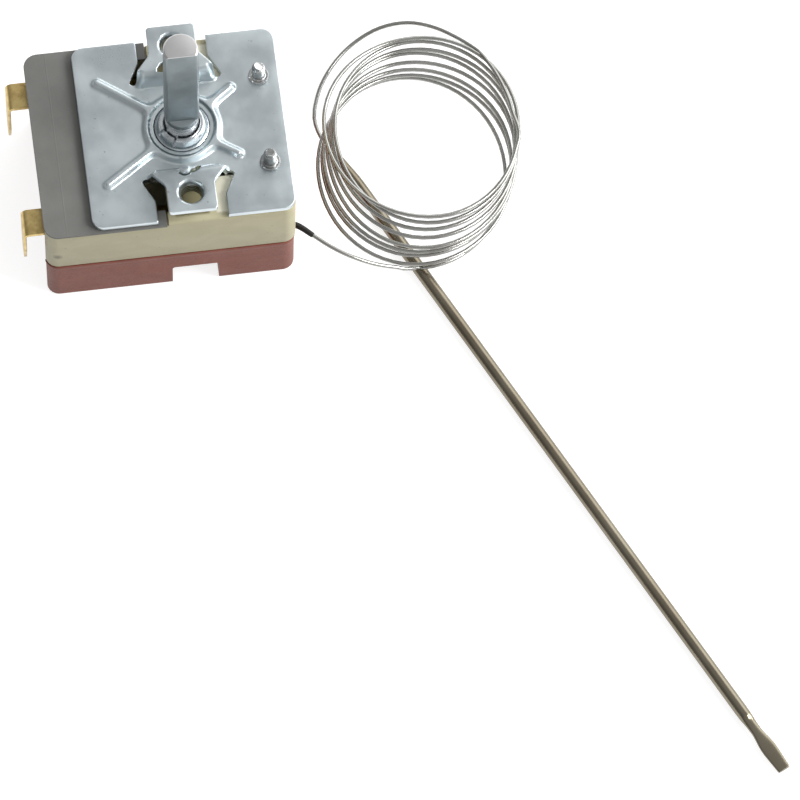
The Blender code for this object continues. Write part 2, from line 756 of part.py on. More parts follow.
def build_stop_disc(material, parent):
    """Make the disc on the spindle's tip, with the lug that meets the bush's rib."""
    bore = SPINDLE_TIP_RADIUS + SEAM
    profile = [(bore, DISC_BOTTOM), (DISC_RADIUS, DISC_BOTTOM), (DISC_RADIUS, DISC_TOP), (bore, DISC_TOP)]
    disc = finish_mesh(turned_mesh(profile, steps=SEAT_ROUND), "stop_disc", material, parent)
    lug_inner = BUSH_RADIUS + SEAM
    foot = sector_box(LUG_REST_ANGLE, DISC_RADIUS - JOIN_DEPTH, LUG_REACH, LUG_WIDTH, DISC_BOTTOM, DISC_TOP)
    join(disc, foot, "lug foot")
    lug = sector_box(LUG_REST_ANGLE, lug_inner, LUG_REACH, LUG_WIDTH, DISC_BOTTOM, DISC_TOP + LUG_RISE)
    join(disc, lug, "lug")
    return disc


def build_thrust_cap(material, parent):
    """Make the insulating cap with the socket for the spindle's tip."""
    half_width = POST_INNER - SEAM
    half_depth = CAP_DEPTH / 2
    outline = rounded_rectangle(-half_width, half_width, -half_depth, half_depth, CAP_CORNER)
    cap = finish_mesh(extruded_mesh(outline, CAP_BOTTOM, CAP_TOP), "thrust_cap", material, parent)
    floor = CAP_BOTTOM + CAP_FLOOR
    socket = cylinder_mesh((0.0, 0.0), SPINDLE_TIP_RADIUS + SEAM, floor, CAP_TOP + OVERCUT, SEAT_ROUND)
    cut(cap, socket, "cap socket")
    return cap


def build_insulating_sheet(material, parent):
    """Cut the sheet, with its round clearance for the bush's flange and rib."""
    outline = rounded_rectangle(SHEET_LEFT, SHEET_RIGHT, -SHEET_HALF_DEPTH, SHEET_HALF_DEPTH, SHEET_CORNER)
    bm = extruded_mesh(outline, SHEET_BOTTOM, SHEET_TOP)
    sheet = finish_mesh(bm, "insulating_sheet", material, parent)
    clearance = STOP_RIB_REACH + SHEET_BUSH_CLEARANCE
    hole = cylinder_mesh((0.0, 0.0), clearance, SHEET_BOTTOM - OVERCUT, SHEET_TOP + OVERCUT, SHOWN_ROUND)
    cut(sheet, hole, "bush clearance")
    return sheet


def build_housing(material, parent):
    """Mould the upper housing: a tray with terminal pedestals, guide posts and bosses."""
    edge = HOUSING_EDGE_ROUND
    layers = [
        (body_outline(LIP_WIDTH + SEAM), HOUSING_BOTTOM - LIP_HEIGHT),
        (body_outline(LIP_WIDTH + SEAM), HOUSING_BOTTOM),
        (body_outline(0.0), HOUSING_BOTTOM),
        (body_outline(0.0), HOUSING_TOP - edge),
        (body_outline(edge * 0.3), HOUSING_TOP - edge * 0.3),
        (body_outline(edge), HOUSING_TOP),
    ]
    housing = finish_mesh(lofted_mesh(layers), "upper_housing", material, parent)
    cavity = extruded_mesh(body_outline(WALL), HOUSING_FLOOR_TOP, HOUSING_TOP + OVERCUT)
    cut(housing, cavity, "housing cavity")
    cut(housing, side_recess(HOUSING_BOTTOM - OVERCUT, HOUSING_TOP + OVERCUT), "side recess")
    recess_low = (BODY_LEFT - OVERCUT, -BODY_HALF_DEPTH - OVERCUT, SHEET_SEAT)
    recess_high = (SHEET_RIGHT + SEAM, BODY_HALF_DEPTH + OVERCUT, HOUSING_TOP + OVERCUT)
    cut(housing, box_mesh(recess_low, recess_high), "sheet recess")
    floor = HOUSING_FLOOR_TOP - JOIN_DEPTH
    wall_y = BODY_HALF_DEPTH - WALL + JOIN_DEPTH
    pedestals = ((-1.0, PEDESTAL_FRONT_RIGHT, FRONT_STRIP_Z), (1.0, STRIP_END_X, REAR_STRIP_Z))
    for side, right, strip_z in pedestals:
        top = strip_z - TERMINAL_THICKNESS / 2 - SEAM
        inner = TERMINAL_Y - PEDESTAL_HALF
        front, back = sorted((side * inner, side * wall_y))
        pedestal = box_mesh((PEDESTAL_LEFT, front, floor), (right, back, top))
        join(housing, pedestal, "pedestal")
    for side in (-1.0, 1.0):
        near, far = sorted((side * POST_INNER, side * (POST_INNER + POST_WIDTH)))
        low = (near, -POST_LENGTH / 2, floor)
        high = (far, POST_LENGTH / 2, HOUSING_FLOOR_TOP + POST_HEIGHT)
        join(housing, box_mesh(low, high), "guide post")
    boss_top = HOUSING_FLOOR_TOP + PLUNGER_BOSS_HEIGHT
    boss = cylinder_mesh((0.0, 0.0), PLUNGER_BOSS_RADIUS, floor, boss_top, SEAT_ROUND)
    join(housing, boss, "plunger boss")
    for side in (-1.0, 1.0):
        column = cylinder_mesh((RIVET_X, side * RIVET_Y), COLUMN_RADIUS, floor, HOUSING_TOP)
        join(housing, column, "rivet column")
    for side in (-1.0, 1.0):
        front, back = sorted((side * LEDGE_INNER_Y, side * wall_y))
        low = (SHEET_RIGHT + SEAM + LEDGE_SETBACK, front, HOUSING_TOP - LEDGE_THICKNESS)
        high = (BODY_RIGHT - WALL + JOIN_DEPTH, back, HOUSING_TOP)
        join(housing, box_mesh(low, high), "ledge")
    screw_boss_top = HOUSING_FLOOR_TOP + SCREW_BOSS_HEIGHT
    join(housing, cylinder_mesh((SCREW_X, 0.0), COLUMN_RADIUS, floor, screw_boss_top), "screw boss")
    under = HOUSING_BOTTOM - LIP_HEIGHT - OVERCUT
    for side in (-1.0, 1.0):
        bore = cylinder_mesh((RIVET_X, side * RIVET_Y), RIVET_RADIUS + SEAM, under, HOUSING_TOP + OVERCUT)
        cut(housing, bore, "rivet bore")
    plunger_bore = cylinder_mesh((0.0, 0.0), PLUNGER_RADIUS + SEAM, under, boss_top + OVERCUT)
    cut(housing, plunger_bore, "plunger bore")
    screw_hole = cylinder_mesh((SCREW_X, 0.0), SCREW_RADIUS + SEAM, under, SCREW_DEPTH + SEAM)
    cut(housing, screw_hole, "screw hole")
    for side in (-1.0, 1.0):
        middle = side * TERMINAL_Y
        half_gap = TERMINAL_THICKNESS / 2 + SEAM
        slot_low = (BODY_LEFT - OVERCUT, middle - PEDESTAL_HALF, TERMINAL_EXIT_Z - half_gap)
        slot_high = (BODY_LEFT + WALL + OVERCUT, middle + PEDESTAL_HALF, TERMINAL_EXIT_Z + half_gap)
        cut(housing, box_mesh(slot_low, slot_high), "terminal slot")
    sink = SMALL_RIVET_RADIUS + SEAM
    for x, side, strip_z in small_rivet_places():
        bottom = strip_z - TERMINAL_THICKNESS / 2 - SMALL_RIVET_GRIP
        hole = cylinder_mesh((x, side * TERMINAL_Y), sink, bottom - SEAM, strip_z + OVERCUT)
        cut(housing, hole, "small rivet hole")
    return housing


def small_rivet_places():
    """Return the x place, side and strip height of the three rivets that hold terminals and blade."""
    return (
        (STRIP_RIVET_X, -1.0, FRONT_STRIP_Z),
        (STRIP_RIVET_X, 1.0, REAR_STRIP_Z),
        (0.0, 1.0, REAR_STRIP_Z),
    )


def build_base_cover(material, parent):
    """Mould the base cover: a tray with a notched front wall, columns and a capsule seat."""
    proud = -BASE_LIP_PROUD
    edge = BASE_EDGE_ROUND
    layers = [
        (body_outline(BASE_DRAFT + edge), 0.0),
        (body_outline(BASE_DRAFT + edge * 0.5), edge * 0.13),
        (body_outline(BASE_DRAFT + edge * 0.13), edge * 0.5),
        (body_outline(BASE_DRAFT), edge),
        (body_outline(proud), BASE_HEIGHT),
    ]
    base = finish_mesh(lofted_mesh(layers), "base_cover", material, parent)
    cut(base, extruded_mesh(body_outline(WALL), BASE_FLOOR, BASE_HEIGHT + OVERCUT), "base cavity")
    cut(base, side_recess(-OVERCUT, BASE_HEIGHT + OVERCUT), "side recess")
    floor = BASE_FLOOR - JOIN_DEPTH
    rim = BASE_HEIGHT - LIP_HEIGHT
    block_x = NOTCH_WIDTH / 2 + NOTCH_WALL
    block_back = -BODY_HALF_DEPTH + NOTCH_DEPTH + NOTCH_WALL
    block_low = (-block_x, -BODY_HALF_DEPTH + LIP_WIDTH, floor)
    join(base, box_mesh(block_low, (block_x, block_back, NOTCH_HEIGHT + NOTCH_WALL)), "notch block")
    for side in (-1.0, 1.0):
        join(base, cylinder_mesh((RIVET_X, side * RIVET_Y), COLUMN_RADIUS, floor, rim), "rivet column")
    join(base, cylinder_mesh((SCREW_X, 0.0), COLUMN_RADIUS, floor, rim), "screw column")
    seat_top = BASE_FLOOR + CAPSULE_SEAT_RISE
    join(base, cylinder_mesh((0.0, 0.0), CAPSULE_SEAT_RADIUS, floor, seat_top, SEAT_ROUND), "capsule seat")
    groove = extruded_mesh(body_outline(LIP_WIDTH), rim, BASE_HEIGHT + OVERCUT)
    cut(base, groove, "lip groove")
    half = NOTCH_WIDTH / 2
    corner = NOTCH_CORNER
    notch = [(-half, -OVERCUT), (half, -OVERCUT)]
    notch += arc((half - corner, NOTCH_HEIGHT - corner), corner, 0.0, 90.0, CORNER_STEPS)
    notch += arc((-half + corner, NOTCH_HEIGHT - corner), corner, 90.0, 180.0, CORNER_STEPS)
    front_notch = extruded_mesh(notch, BODY_HALF_DEPTH - NOTCH_DEPTH, BODY_HALF_DEPTH + OVERCUT)
    upright = Matrix.Rotation(math.radians(90), 3, "X")
    bmesh.ops.rotate(front_notch, cent=(0, 0, 0), matrix=upright, verts=front_notch.verts)
    cut(base, front_notch, "front notch")
    stub_hole = cylinder_mesh(
        (0.0, 0.0), CAPSULE_STUB_RADIUS + SEAM,
        CAPSULE_FLOOR - CAPSULE_STUB_LENGTH - SEAM, seat_top + OVERCUT,
    )
    cut(base, stub_hole, "capsule stub hole")
    for side in (-1.0, 1.0):
        place = (RIVET_X, side * RIVET_Y)
        cut(base, cylinder_mesh(place, RIVET_RADIUS + SEAM, -OVERCUT, BASE_HEIGHT), "rivet bore")
        sink = RIVET_SINK + RIVET_HEAD_HEIGHT + SEAM
        cut(base, cylinder_mesh(place, RIVET_HEAD_RADIUS + SEAM, -OVERCUT, sink), "rivet head recess")
    cut(base, cylinder_mesh((SCREW_X, 0.0), SCREW_RADIUS + SEAM, -OVERCUT, BASE_HEIGHT), "screw bore")
    sink = RIVET_SINK + RIVET_HEAD_HEIGHT + SEAM
    cut(base, cylinder_mesh((SCREW_X, 0.0), SCREW_HEAD_RADIUS + SEAM, -OVERCUT, sink), "screw head recess")
    exit_outline = arc((EXIT_Y, EXIT_Z), EXIT_RADIUS, 180.0, 360.0, 10)
    above = BASE_HEIGHT + OVERCUT
    exit_outline += [(EXIT_Y + EXIT_RADIUS, above), (EXIT_Y - EXIT_RADIUS, above)]
    exit_cutter = extruded_mesh(exit_outline, BODY_RIGHT - WALL - OVERCUT, BODY_RIGHT + OVERCUT)
    for vert in exit_cutter.verts:
        vert.co = (vert.co.z, vert.co.x, vert.co.y)
    cut(base, exit_cutter, "capillary exit")
    return base


def build_tie_rivet(name, side, material, parent):
    """Turn a rivet that ties base, housing and plate, with its upset collar and broken tip."""
    collar = PLATE_TOP + SEAM
    stud = collar + RIVET_COLLAR_HEIGHT
    shoulder = stud + RIVET_STUD_HEIGHT
    head_top = RIVET_SINK + RIVET_HEAD_HEIGHT
    profile = [
        (0.0, RIVET_SINK),
        (RIVET_HEAD_RADIUS - RIVET_EDGE, RIVET_SINK),
        (RIVET_HEAD_RADIUS, RIVET_SINK + RIVET_EDGE),
        (RIVET_HEAD_RADIUS, head_top),
        (RIVET_RADIUS, head_top),
        (RIVET_RADIUS, collar),
        (RIVET_COLLAR_RADIUS, collar),
        (RIVET_COLLAR_RADIUS, stud - 2 * STUD_INSET),
        (RIVET_COLLAR_RADIUS - 2 * STUD_INSET, stud),
        (RIVET_RADIUS - STUD_INSET, stud),
        (RIVET_RADIUS - STUD_INSET, shoulder),
        (RIVET_TIP_RADIUS, shoulder + RIVET_TIP_HEIGHT),
        (RIVET_TIP_RADIUS - STUD_INSET, shoulder + 2 * RIVET_TIP_HEIGHT),
        (0.0, shoulder + 2 * RIVET_TIP_HEIGHT),
    ]
    place = (RIVET_X, side * RIVET_Y)
    return finish_mesh(turned_mesh(profile, place, SEAT_ROUND), name, material, parent)


def build_base_screw(material, parent):
    """Turn the screw that holds the base's terminal side."""
    head_top = RIVET_SINK + RIVET_HEAD_HEIGHT
    profile = [
        (0.0, RIVET_SINK + SCREW_DIMPLE[1]),
        (SCREW_DIMPLE[0], RIVET_SINK),
        (SCREW_HEAD_RADIUS, RIVET_SINK),
        (SCREW_HEAD_RADIUS, head_top),
        (SCREW_RADIUS, head_top),
        (SCREW_RADIUS, SCREW_DEPTH - SCREW_POINT),
        (0.0, SCREW_DEPTH),
    ]
    return finish_mesh(turned_mesh(profile, (SCREW_X, 0.0), HIDDEN_ROUND), "base_screw", material, parent)


def build_small_rivet(name, place, material, parent):
    """Turn a small rivet whose head clamps a strip, or the strip and the blade's root."""
    x, side, strip_z = place
    top = strip_z + TERMINAL_THICKNESS / 2 + SEAM
    if name == "blade_rivet":
        top = BLADE_TOP + SEAM
    bottom = strip_z - TERMINAL_THICKNESS / 2 - SMALL_RIVET_GRIP
    profile = [
        (0.0, bottom),
        (SMALL_RIVET_RADIUS, bottom),
        (SMALL_RIVET_RADIUS, top),
        (SMALL_RIVET_HEAD, top),
        (SMALL_RIVET_HEAD, top + SMALL_RIVET_HEAD_HEIGHT * 0.5),
        (SMALL_RIVET_HEAD * 0.6, top + SMALL_RIVET_HEAD_HEIGHT),
        (0.0, top + SMALL_RIVET_HEAD_HEIGHT),
    ]
    return finish_mesh(turned_mesh(profile, (x, side * TERMINAL_Y), HIDDEN_ROUND), name, material, parent)


def terminal_path(strip_z):
    """Return the strip's middle line in the X-Z plane, from the blade's tip to the inner end."""
    leg_x = BODY_LEFT - TERMINAL_REACH + TERMINAL_THICKNESS / 2
    tip_z = TERMINAL_EXIT_Z + TERMINAL_THICKNESS / 2 - TERMINAL_DROP
    path = [(leg_x, tip_z), (leg_x, tip_z + TERMINAL_TAPER)]
    bend_centre = (leg_x + TERMINAL_BEND, TERMINAL_EXIT_Z - TERMINAL_BEND)
    path += arc(bend_centre, TERMINAL_BEND, 180.0, 90.0, 5)
    path += [(JOG_START_X, TERMINAL_EXIT_Z), (JOG_END_X, strip_z), (STRIP_END_X, strip_z)]
    return path


def strip_mesh(path, side):
    """Sweep the strip's section along its path, with a taper at the blade's tip."""
    bm = bmesh.new()
    rings = []
    for i, (x, z) in enumerate(path):
        before = path[max(i - 1, 0)]
        after = path[min(i + 1, len(path) - 1)]
        along = Vector((after[0] - before[0], after[1] - before[1])).normalized()
        arriving = Vector((x - before[0], z - before[1]))
        leaving = Vector((after[0] - x, after[1] - z))
        stretch = 1.0
        if 0 < i < len(path) - 1:
            stretch = 1.0 / math.cos(arriving.angle(leaving) / 2)
        normal = Vector((-along.y, along.x)) * TERMINAL_THICKNESS / 2 * stretch
        half = (TERMINAL_TIP_WIDTH if i == 0 else TERMINAL_WIDTH) / 2
        middle = side * TERMINAL_Y
        ring = []
        for sign, edge in ((-1, -1), (1, -1), (1, 1), (-1, 1)):
            ring.append(bm.verts.new((x + sign * normal.x, middle + edge * half, z + sign * normal.y)))
        rings.append(ring)
    for lower, upper in zip(rings, rings[1:]):
        for i in range(4):
            j = (i + 1) % 4
            bm.faces.new((lower[i], lower[j], upper[j], upper[i]))
    bm.faces.new(rings[0])
    bm.faces.new(rings[-1])
    return bm


def build_terminal(name, side, strip_z, material, parent):
    """Bend a terminal from brass strip and pierce it for its rivets or its contact."""
    terminal = finish_mesh(strip_mesh(terminal_path(strip_z), side), name, material, parent, smooth=False)
    holes = [(STRIP_RIVET_X, SMALL_RIVET_RADIUS), (0.0, SMALL_RIVET_RADIUS if side > 0 else BUTTON_SHANK)]
    for x, radius in holes:
        hole = cylinder_mesh((x, side * TERMINAL_Y), radius + SEAM, strip_z - OVERCUT, strip_z + OVERCUT)
        cut(terminal, hole, "strip hole")
    return terminal


def build_contact_blade(material, parent):
    """Cut the spring blade, with the two slots that free its middle tongue."""
    root = TERMINAL_Y + BLADE_ROOT_OVERHANG
    tip = -TERMINAL_Y - BLADE_TIP_OVERHANG
    half = BLADE_WIDTH / 2
    outline = rounded_rectangle(-half, half, tip, root, BLADE_CORNER)
    pivot = (0.0, TERMINAL_Y, (BLADE_BOTTOM + BLADE_TOP) / 2)
    bm = extruded_mesh(outline, BLADE_BOTTOM, BLADE_TOP)
    blade = finish_mesh(bm, "contact_blade", material, parent, pivot)
    low, high = BLADE_BOTTOM - OVERCUT, BLADE_TOP + OVERCUT
    cut(blade, cylinder_mesh((0.0, TERMINAL_Y), SMALL_RIVET_RADIUS + SEAM, low, high), "blade root hole")
    cut(blade, cylinder_mesh((0.0, -TERMINAL_Y), BUTTON_SHANK + SEAM, low, high), "blade contact hole")
    for side in (-1.0, 1.0):
        near, far = sorted((side * BLADE_SLOT_OFFSET, side * (BLADE_SLOT_OFFSET + BLADE_SLOT_WIDTH)))
        slot = box_mesh((near, -BLADE_SLOT_LENGTH / 2, low), (far, BLADE_SLOT_LENGTH / 2, high))
        cut(blade, slot, "blade slot")
    return blade


def button_profile(bottom, top, low_radius, low_height, high_radius, high_height):
    """Return the profile of a rivet with a head at each end of its shank."""
    return [
        (0.0, bottom),
        (low_radius, bottom),
        (low_radius, bottom + low_height),
        (BUTTON_SHANK, bottom + low_height),
        (BUTTON_SHANK, top - high_height),
        (high_radius, top - high_height),
        (high_radius, top),
        (0.0, top),
    ]


def build_moving_contact(material, parent):
    """Turn the contact rivet that rides on the blade."""
    bottom = BLADE_BOTTOM - 2 * CONTACT_SEAM - BUTTON_HEIGHT
    top = BLADE_TOP + CONTACT_SEAM + BUTTON_HEIGHT
    profile = button_profile(bottom, top, BUTTON_RADIUS, BUTTON_HEIGHT, BUTTON_HEAD, BUTTON_HEIGHT)
    bm = turned_mesh(profile, (0.0, -TERMINAL_Y), HIDDEN_ROUND)
    return finish_mesh(bm, "moving_contact", material, parent)


def build_fixed_contact(material, parent):
    """Turn the contact rivet in the front terminal, just under the moving contact."""
    top = BLADE_BOTTOM - 3 * CONTACT_SEAM - BUTTON_HEIGHT
    button_height = top - FRONT_STRIP_TOP - CONTACT_SEAM
    bottom = FRONT_STRIP_Z - TERMINAL_THICKNESS / 2 - CONTACT_SEAM - BUTTON_HEIGHT
    profile = button_profile(bottom, top, BUTTON_HEAD, BUTTON_HEIGHT, BUTTON_RADIUS, button_height)
    bm = turned_mesh(profile, (0.0, -TERMINAL_Y), HIDDEN_ROUND)
    return finish_mesh(bm, "fixed_contact", material, parent)


def build_plunger(material, parent):
    """Turn the ceramic pin between the capsule's button and the blade."""
    bottom = CAPSULE_BUTTON_TOP + SEAM
    top = BLADE_BOTTOM - SEAM
    profile = [
        (0.0, bottom),
        (PLUNGER_RADIUS, bottom),
        (PLUNGER_RADIUS, top - PLUNGER_NOSE),
        (PLUNGER_RADIUS * PLUNGER_NOSE_SHARE, top),
        (0.0, top),
    ]
    return finish_mesh(turned_mesh(profile, steps=HIDDEN_ROUND), "plunger", material, parent)


def capsule_skin(base, rise):
    """Return one corrugated half of the capsule, from the rim towards the middle."""
    points = []
    flat = CAPSULE_RADIUS - CAPSULE_RIM_WIDTH
    span = flat - CAPSULE_BUTTON_RADIUS
    steps = 4 * CAPSULE_WAVES
    for i in range(steps + 1):
        share = i / steps
        wave = CAPSULE_WAVE * math.sin(2 * math.pi * CAPSULE_WAVES * share)
        dish = CAPSULE_DISH * smooth_step(share * 2.5)
        points.append((flat - span * share, base + rise * (dish + wave * min(share * 4, 1.0))))
    return points


def build_capsule(material, parent):
    """Make the sealed capsule: two corrugated halves, a rim, a button above and a stub below."""
    rim_top = CAPSULE_MIDDLE + CAPSULE_RIM / 2
    rim_bottom = CAPSULE_MIDDLE - CAPSULE_RIM / 2
    upper = capsule_skin(rim_top, 1.0)
    lower = capsule_skin(rim_bottom, -1.0)
    stub_end = CAPSULE_FLOOR - CAPSULE_STUB_LENGTH
    profile = [(0.0, stub_end), (CAPSULE_STUB_RADIUS, stub_end)]
    profile.append((CAPSULE_STUB_RADIUS, rim_bottom - CAPSULE_DISH))
    profile += lower[::-1]
    profile += [(CAPSULE_RADIUS, rim_bottom), (CAPSULE_RADIUS, rim_top)]
    profile += upper
    profile.append((CAPSULE_BUTTON_RADIUS - CAPSULE_BUTTON_EDGE, CAPSULE_BUTTON_TOP))
    profile.append((0.0, CAPSULE_BUTTON_TOP))
    return finish_mesh(turned_mesh(profile, steps=SEAT_ROUND), "diaphragm_capsule", material, parent)


def smooth_route(points, spacing):
    """Return points of a smooth curve through a route, about one spacing apart."""
    knots = [Vector(point) for point in points]
    first = knots[0] * 2 - knots[1]
    last = knots[-1] * 2 - knots[-2]
    padded = [first] + knots + [last]
    result = [knots[0]]
    for a, b, c, d in zip(padded, padded[1:], padded[2:], padded[3:]):
        steps = max(1, round((c - b).length / spacing))
        for i in range(1, steps + 1):
            t = i / steps
            level = b * 2
            slope = (c - a) * t
            bend = (a * 2 - b * 5 + c * 4 - d) * t * t
            twist = (b * 3 - a - c * 3 + d) * t ** 3
            result.append((level + slope + bend + twist) / 2)
    return result


def build_tube(name, route, radius, material, parent, spacing, tip_radius=None):
    """Run a round tube along a smooth route, with an even taper where a tip radius is given."""
    points = smooth_route(route, spacing)
    curve = bpy.data.curves.new(name, "CURVE")
    curve.dimensions = "3D"
    curve.bevel_depth = radius
    curve.bevel_resolution = 2
    curve.use_fill_caps = True
    spline = curve.splines.new("POLY")
    spline.points.add(len(points) - 1)
    last = len(points) - 1
    for i, (knot, point) in enumerate(zip(spline.points, points)):
        knot.co = (*point, 1.0)
        share = 1.0 if tip_radius is None else 1.0 + (tip_radius / radius - 1.0) * i / last
        knot.radius = share
    return add_object(name, curve, material, parent)


def distance_right_of_bulb(x, y):
    """Return how far a point lies to the right of the bulb's axis, on which the coil leans."""
    reach = math.hypot(*BULB_HEADING)
    across = (-BULB_HEADING[1] / reach, BULB_HEADING[0] / reach)
    return (x - BULB_START[0]) * across[0] + (y - BULB_START[1]) * across[1]


def build_coil(material, parent):
    """Make the coil's outer shape: an oval ring that leans as its turns drift, from bulb to floor."""
    rise = COIL_DRIFT[2] * (COIL_TURNS - 1)
    low = COIL_START[2] - CAPILLARY_RADIUS - CONTACT_SEAM
    high = COIL_START[2] + rise + CAPILLARY_RADIUS + CONTACT_SEAM
    steps = COIL_FACETS
    bm = bmesh.new()
    rings = []
    for height, offset in ((low, -COIL_SLACK), (low, COIL_SLACK), (high, COIL_SLACK), (high, -COIL_SLACK)):
        lean = (height - COIL_START[2]) / COIL_DRIFT[2]
        ring = []
        for i in range(steps):
            angle = 2 * math.pi * i / steps
            x = COIL_START[0] + COIL_DRIFT[0] * lean + (COIL_RADIUS_X + offset) * math.cos(angle)
            y = COIL_START[1] + COIL_DRIFT[1] * lean + (COIL_RADIUS_Y + offset) * math.sin(angle)
            aside = distance_right_of_bulb(x, y)
            ring.append(bm.verts.new((x, y + COIL_SKEW * aside, height - COIL_TILT * aside)))
        rings.append(ring)
    for inner, outer in zip(rings, rings[1:] + rings[:1]):
        for i in range(steps):
            j = (i + 1) % steps
            bm.faces.new((inner[i], inner[j], outer[j], outer[i]))
    return finish_mesh(bm, "capillary_coil", material, parent)


def build_bulb(material, parent):
    """Loft the sensor bulb: a drawn neck, a long round tube and a crimped flat end."""
    radius = BULB_RADIUS
    stations = [
        (-BULB_NECK_LENGTH, 0.56, 0.56),
        (-BULB_NECK_LENGTH * 0.75, 0.62, 0.62),
        (-BULB_NECK_LENGTH * 0.3, 0.88, 0.88),
        (-BULB_NECK_LENGTH * 0.08, 0.985, 0.985),
        (0.0, 1.0, 1.0),
        (BULB_LENGTH - 0.0012, 1.0, 1.0),
        (BULB_LENGTH + 0.0004, 0.86, 0.92),
        (BULB_LENGTH + 0.002, 0.66, 0.72),
        (BULB_LENGTH + 0.0038, 0.72, 0.5),
        (BULB_LENGTH + 0.006, 0.95, 0.36),
        (BULB_LENGTH + 0.0078, 0.98, 0.34),
        (BULB_LENGTH + 0.0096, 0.84, 0.33),
        (BULB_LENGTH + 0.0102, 0.76, 0.28),
    ]
    heading = Vector((BULB_HEADING[0], BULB_HEADING[1], 0.0)).normalized()
    across = Vector((-heading.y, heading.x, 0.0))
    start = Vector((BULB_START[0], BULB_START[1], BULB_RADIUS + BULB_FLOOR_GAP))
    steps = BULB_FACETS
    bm = bmesh.new()
    rings = []
    for place, wide, tall in stations:
        ring = []
        for i in range(steps):
            angle = 2 * math.pi * i / steps
            side = across * (radius * wide * math.cos(angle))
            lift = Vector((0.0, 0.0, radius * tall * math.sin(angle)))
            ring.append(bm.verts.new(start + heading * place + side + lift))
        rings.append(ring)
    for lower, upper in zip(rings, rings[1:]):
        for i in range(steps):
            j = (i + 1) % steps
            bm.faces.new((lower[i], lower[j], upper[j], upper[i]))
    bm.faces.new(rings[0])
    bm.faces.new(rings[-1])
    return finish_mesh(bm, "sensor_bulb", material, parent)


def build_thermostat():
    """Build every piece of the thermostat under one empty, with an empty for each moving group."""
    clear_scene()
    zinc = make_material("zinc_steel", (0.62, 0.66, 0.68), 0.32, 1.0)
    steel = make_material("turned_steel", (0.6, 0.6, 0.6), 0.3, 1.0)
    brass = make_material("brass_strip", (0.62, 0.5, 0.24), 0.35, 1.0)
    silver = make_material("contact_silver", (0.8, 0.8, 0.78), 0.25, 1.0)
    bronze = make_material("spring_bronze", (0.7, 0.45, 0.25), 0.35, 1.0)
    cream = make_material("cream_moulding", (0.62, 0.58, 0.42), 0.55, 0.0)
    red = make_material("red_moulding", (0.35, 0.14, 0.11), 0.5, 0.0)
    grey = make_material("grey_sheet", (0.2, 0.2, 0.19), 0.8, 0.0)
    ceramic = make_material("white_ceramic", (0.8, 0.78, 0.72), 0.5, 0.0)
    black = make_material("black_sleeve", (0.02, 0.02, 0.02), 0.5, 0.0)
    capillary = make_material("capillary_steel", (0.42, 0.4, 0.37), 0.3, 1.0)
    root = add_empty("thermostat", (0.0, 0.0, 0.0), None)
    feed = add_empty("spindle_feed_axis", (0.0, 0.0, 0.0), root)
    turn = add_empty("spindle_turn_axis", (0.0, 0.0, 0.0), feed)
    build_base_cover(red, root)
    build_housing(cream, root)
    build_insulating_sheet(grey, root)
    build_mounting_plate(zinc, root)
    build_bush(steel, root)
    build_tie_rivet("tie_rivet_front", -1.0, steel, root)
    build_tie_rivet("tie_rivet_rear", 1.0, steel, root)
    build_base_screw(steel, root)
    build_terminal("terminal_front", -1.0, FRONT_STRIP_Z, brass, root)
    build_terminal("terminal_rear", 1.0, REAR_STRIP_Z, brass, root)
    small_rivets = ("terminal_rivet_front", "terminal_rivet_rear", "blade_rivet")
    for name, place in zip(small_rivets, small_rivet_places()):
        build_small_rivet(name, place, steel, root)
    build_fixed_contact(silver, root)
    build_contact_blade(bronze, root)
    build_moving_contact(silver, root)
    build_plunger(ceramic, root)
    build_capsule(steel, root)
    build_thrust_cap(ceramic, feed)
    build_spindle(zinc, turn)
    build_stop_disc(steel, turn)
    spacing = 6 * CAPILLARY_RADIUS
    build_tube("capillary_inner", INNER_ROUTE, CAPILLARY_RADIUS, capillary, root, spacing)
    build_tube("capillary_sleeve", SLEEVE_ROUTE, SLEEVE_RADIUS, black, root, 0.001, SLEEVE_TIP_RADIUS)
    build_tube("capillary_lead", LEAD_ROUTE, CAPILLARY_RADIUS, capillary, root, spacing)
    build_tube("capillary_tail", TAIL_ROUTE, CAPILLARY_RADIUS, capillary, root, spacing)
    build_coil(capillary, root)
    build_bulb(capillary, root)


def add_empty(name, location, parent):
    """Add an empty that carries the pieces of one group."""
    empty = bpy.data.objects.new(name, None)
    empty.location = location
    empty.parent = parent
    bpy.context.scene.collection.objects.link(empty)
    return empty


build_thermostat()
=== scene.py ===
"""Dresses the capillary thermostat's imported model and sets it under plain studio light.

Sizes in the classes are in millimetres and become metres when a mesh is made. The frame is the CAD's own:
+Z up, the origin on the spindle's axis at the base cover's underside, and -Y towards the notched wall.
"""

import logging
import math
from dataclasses import dataclass
from enum import Enum

import bmesh
import bpy
from mathutils import Matrix, Vector
from mathutils.geometry import delaunay_2d_cdt
from mathutils.kdtree import KDTree

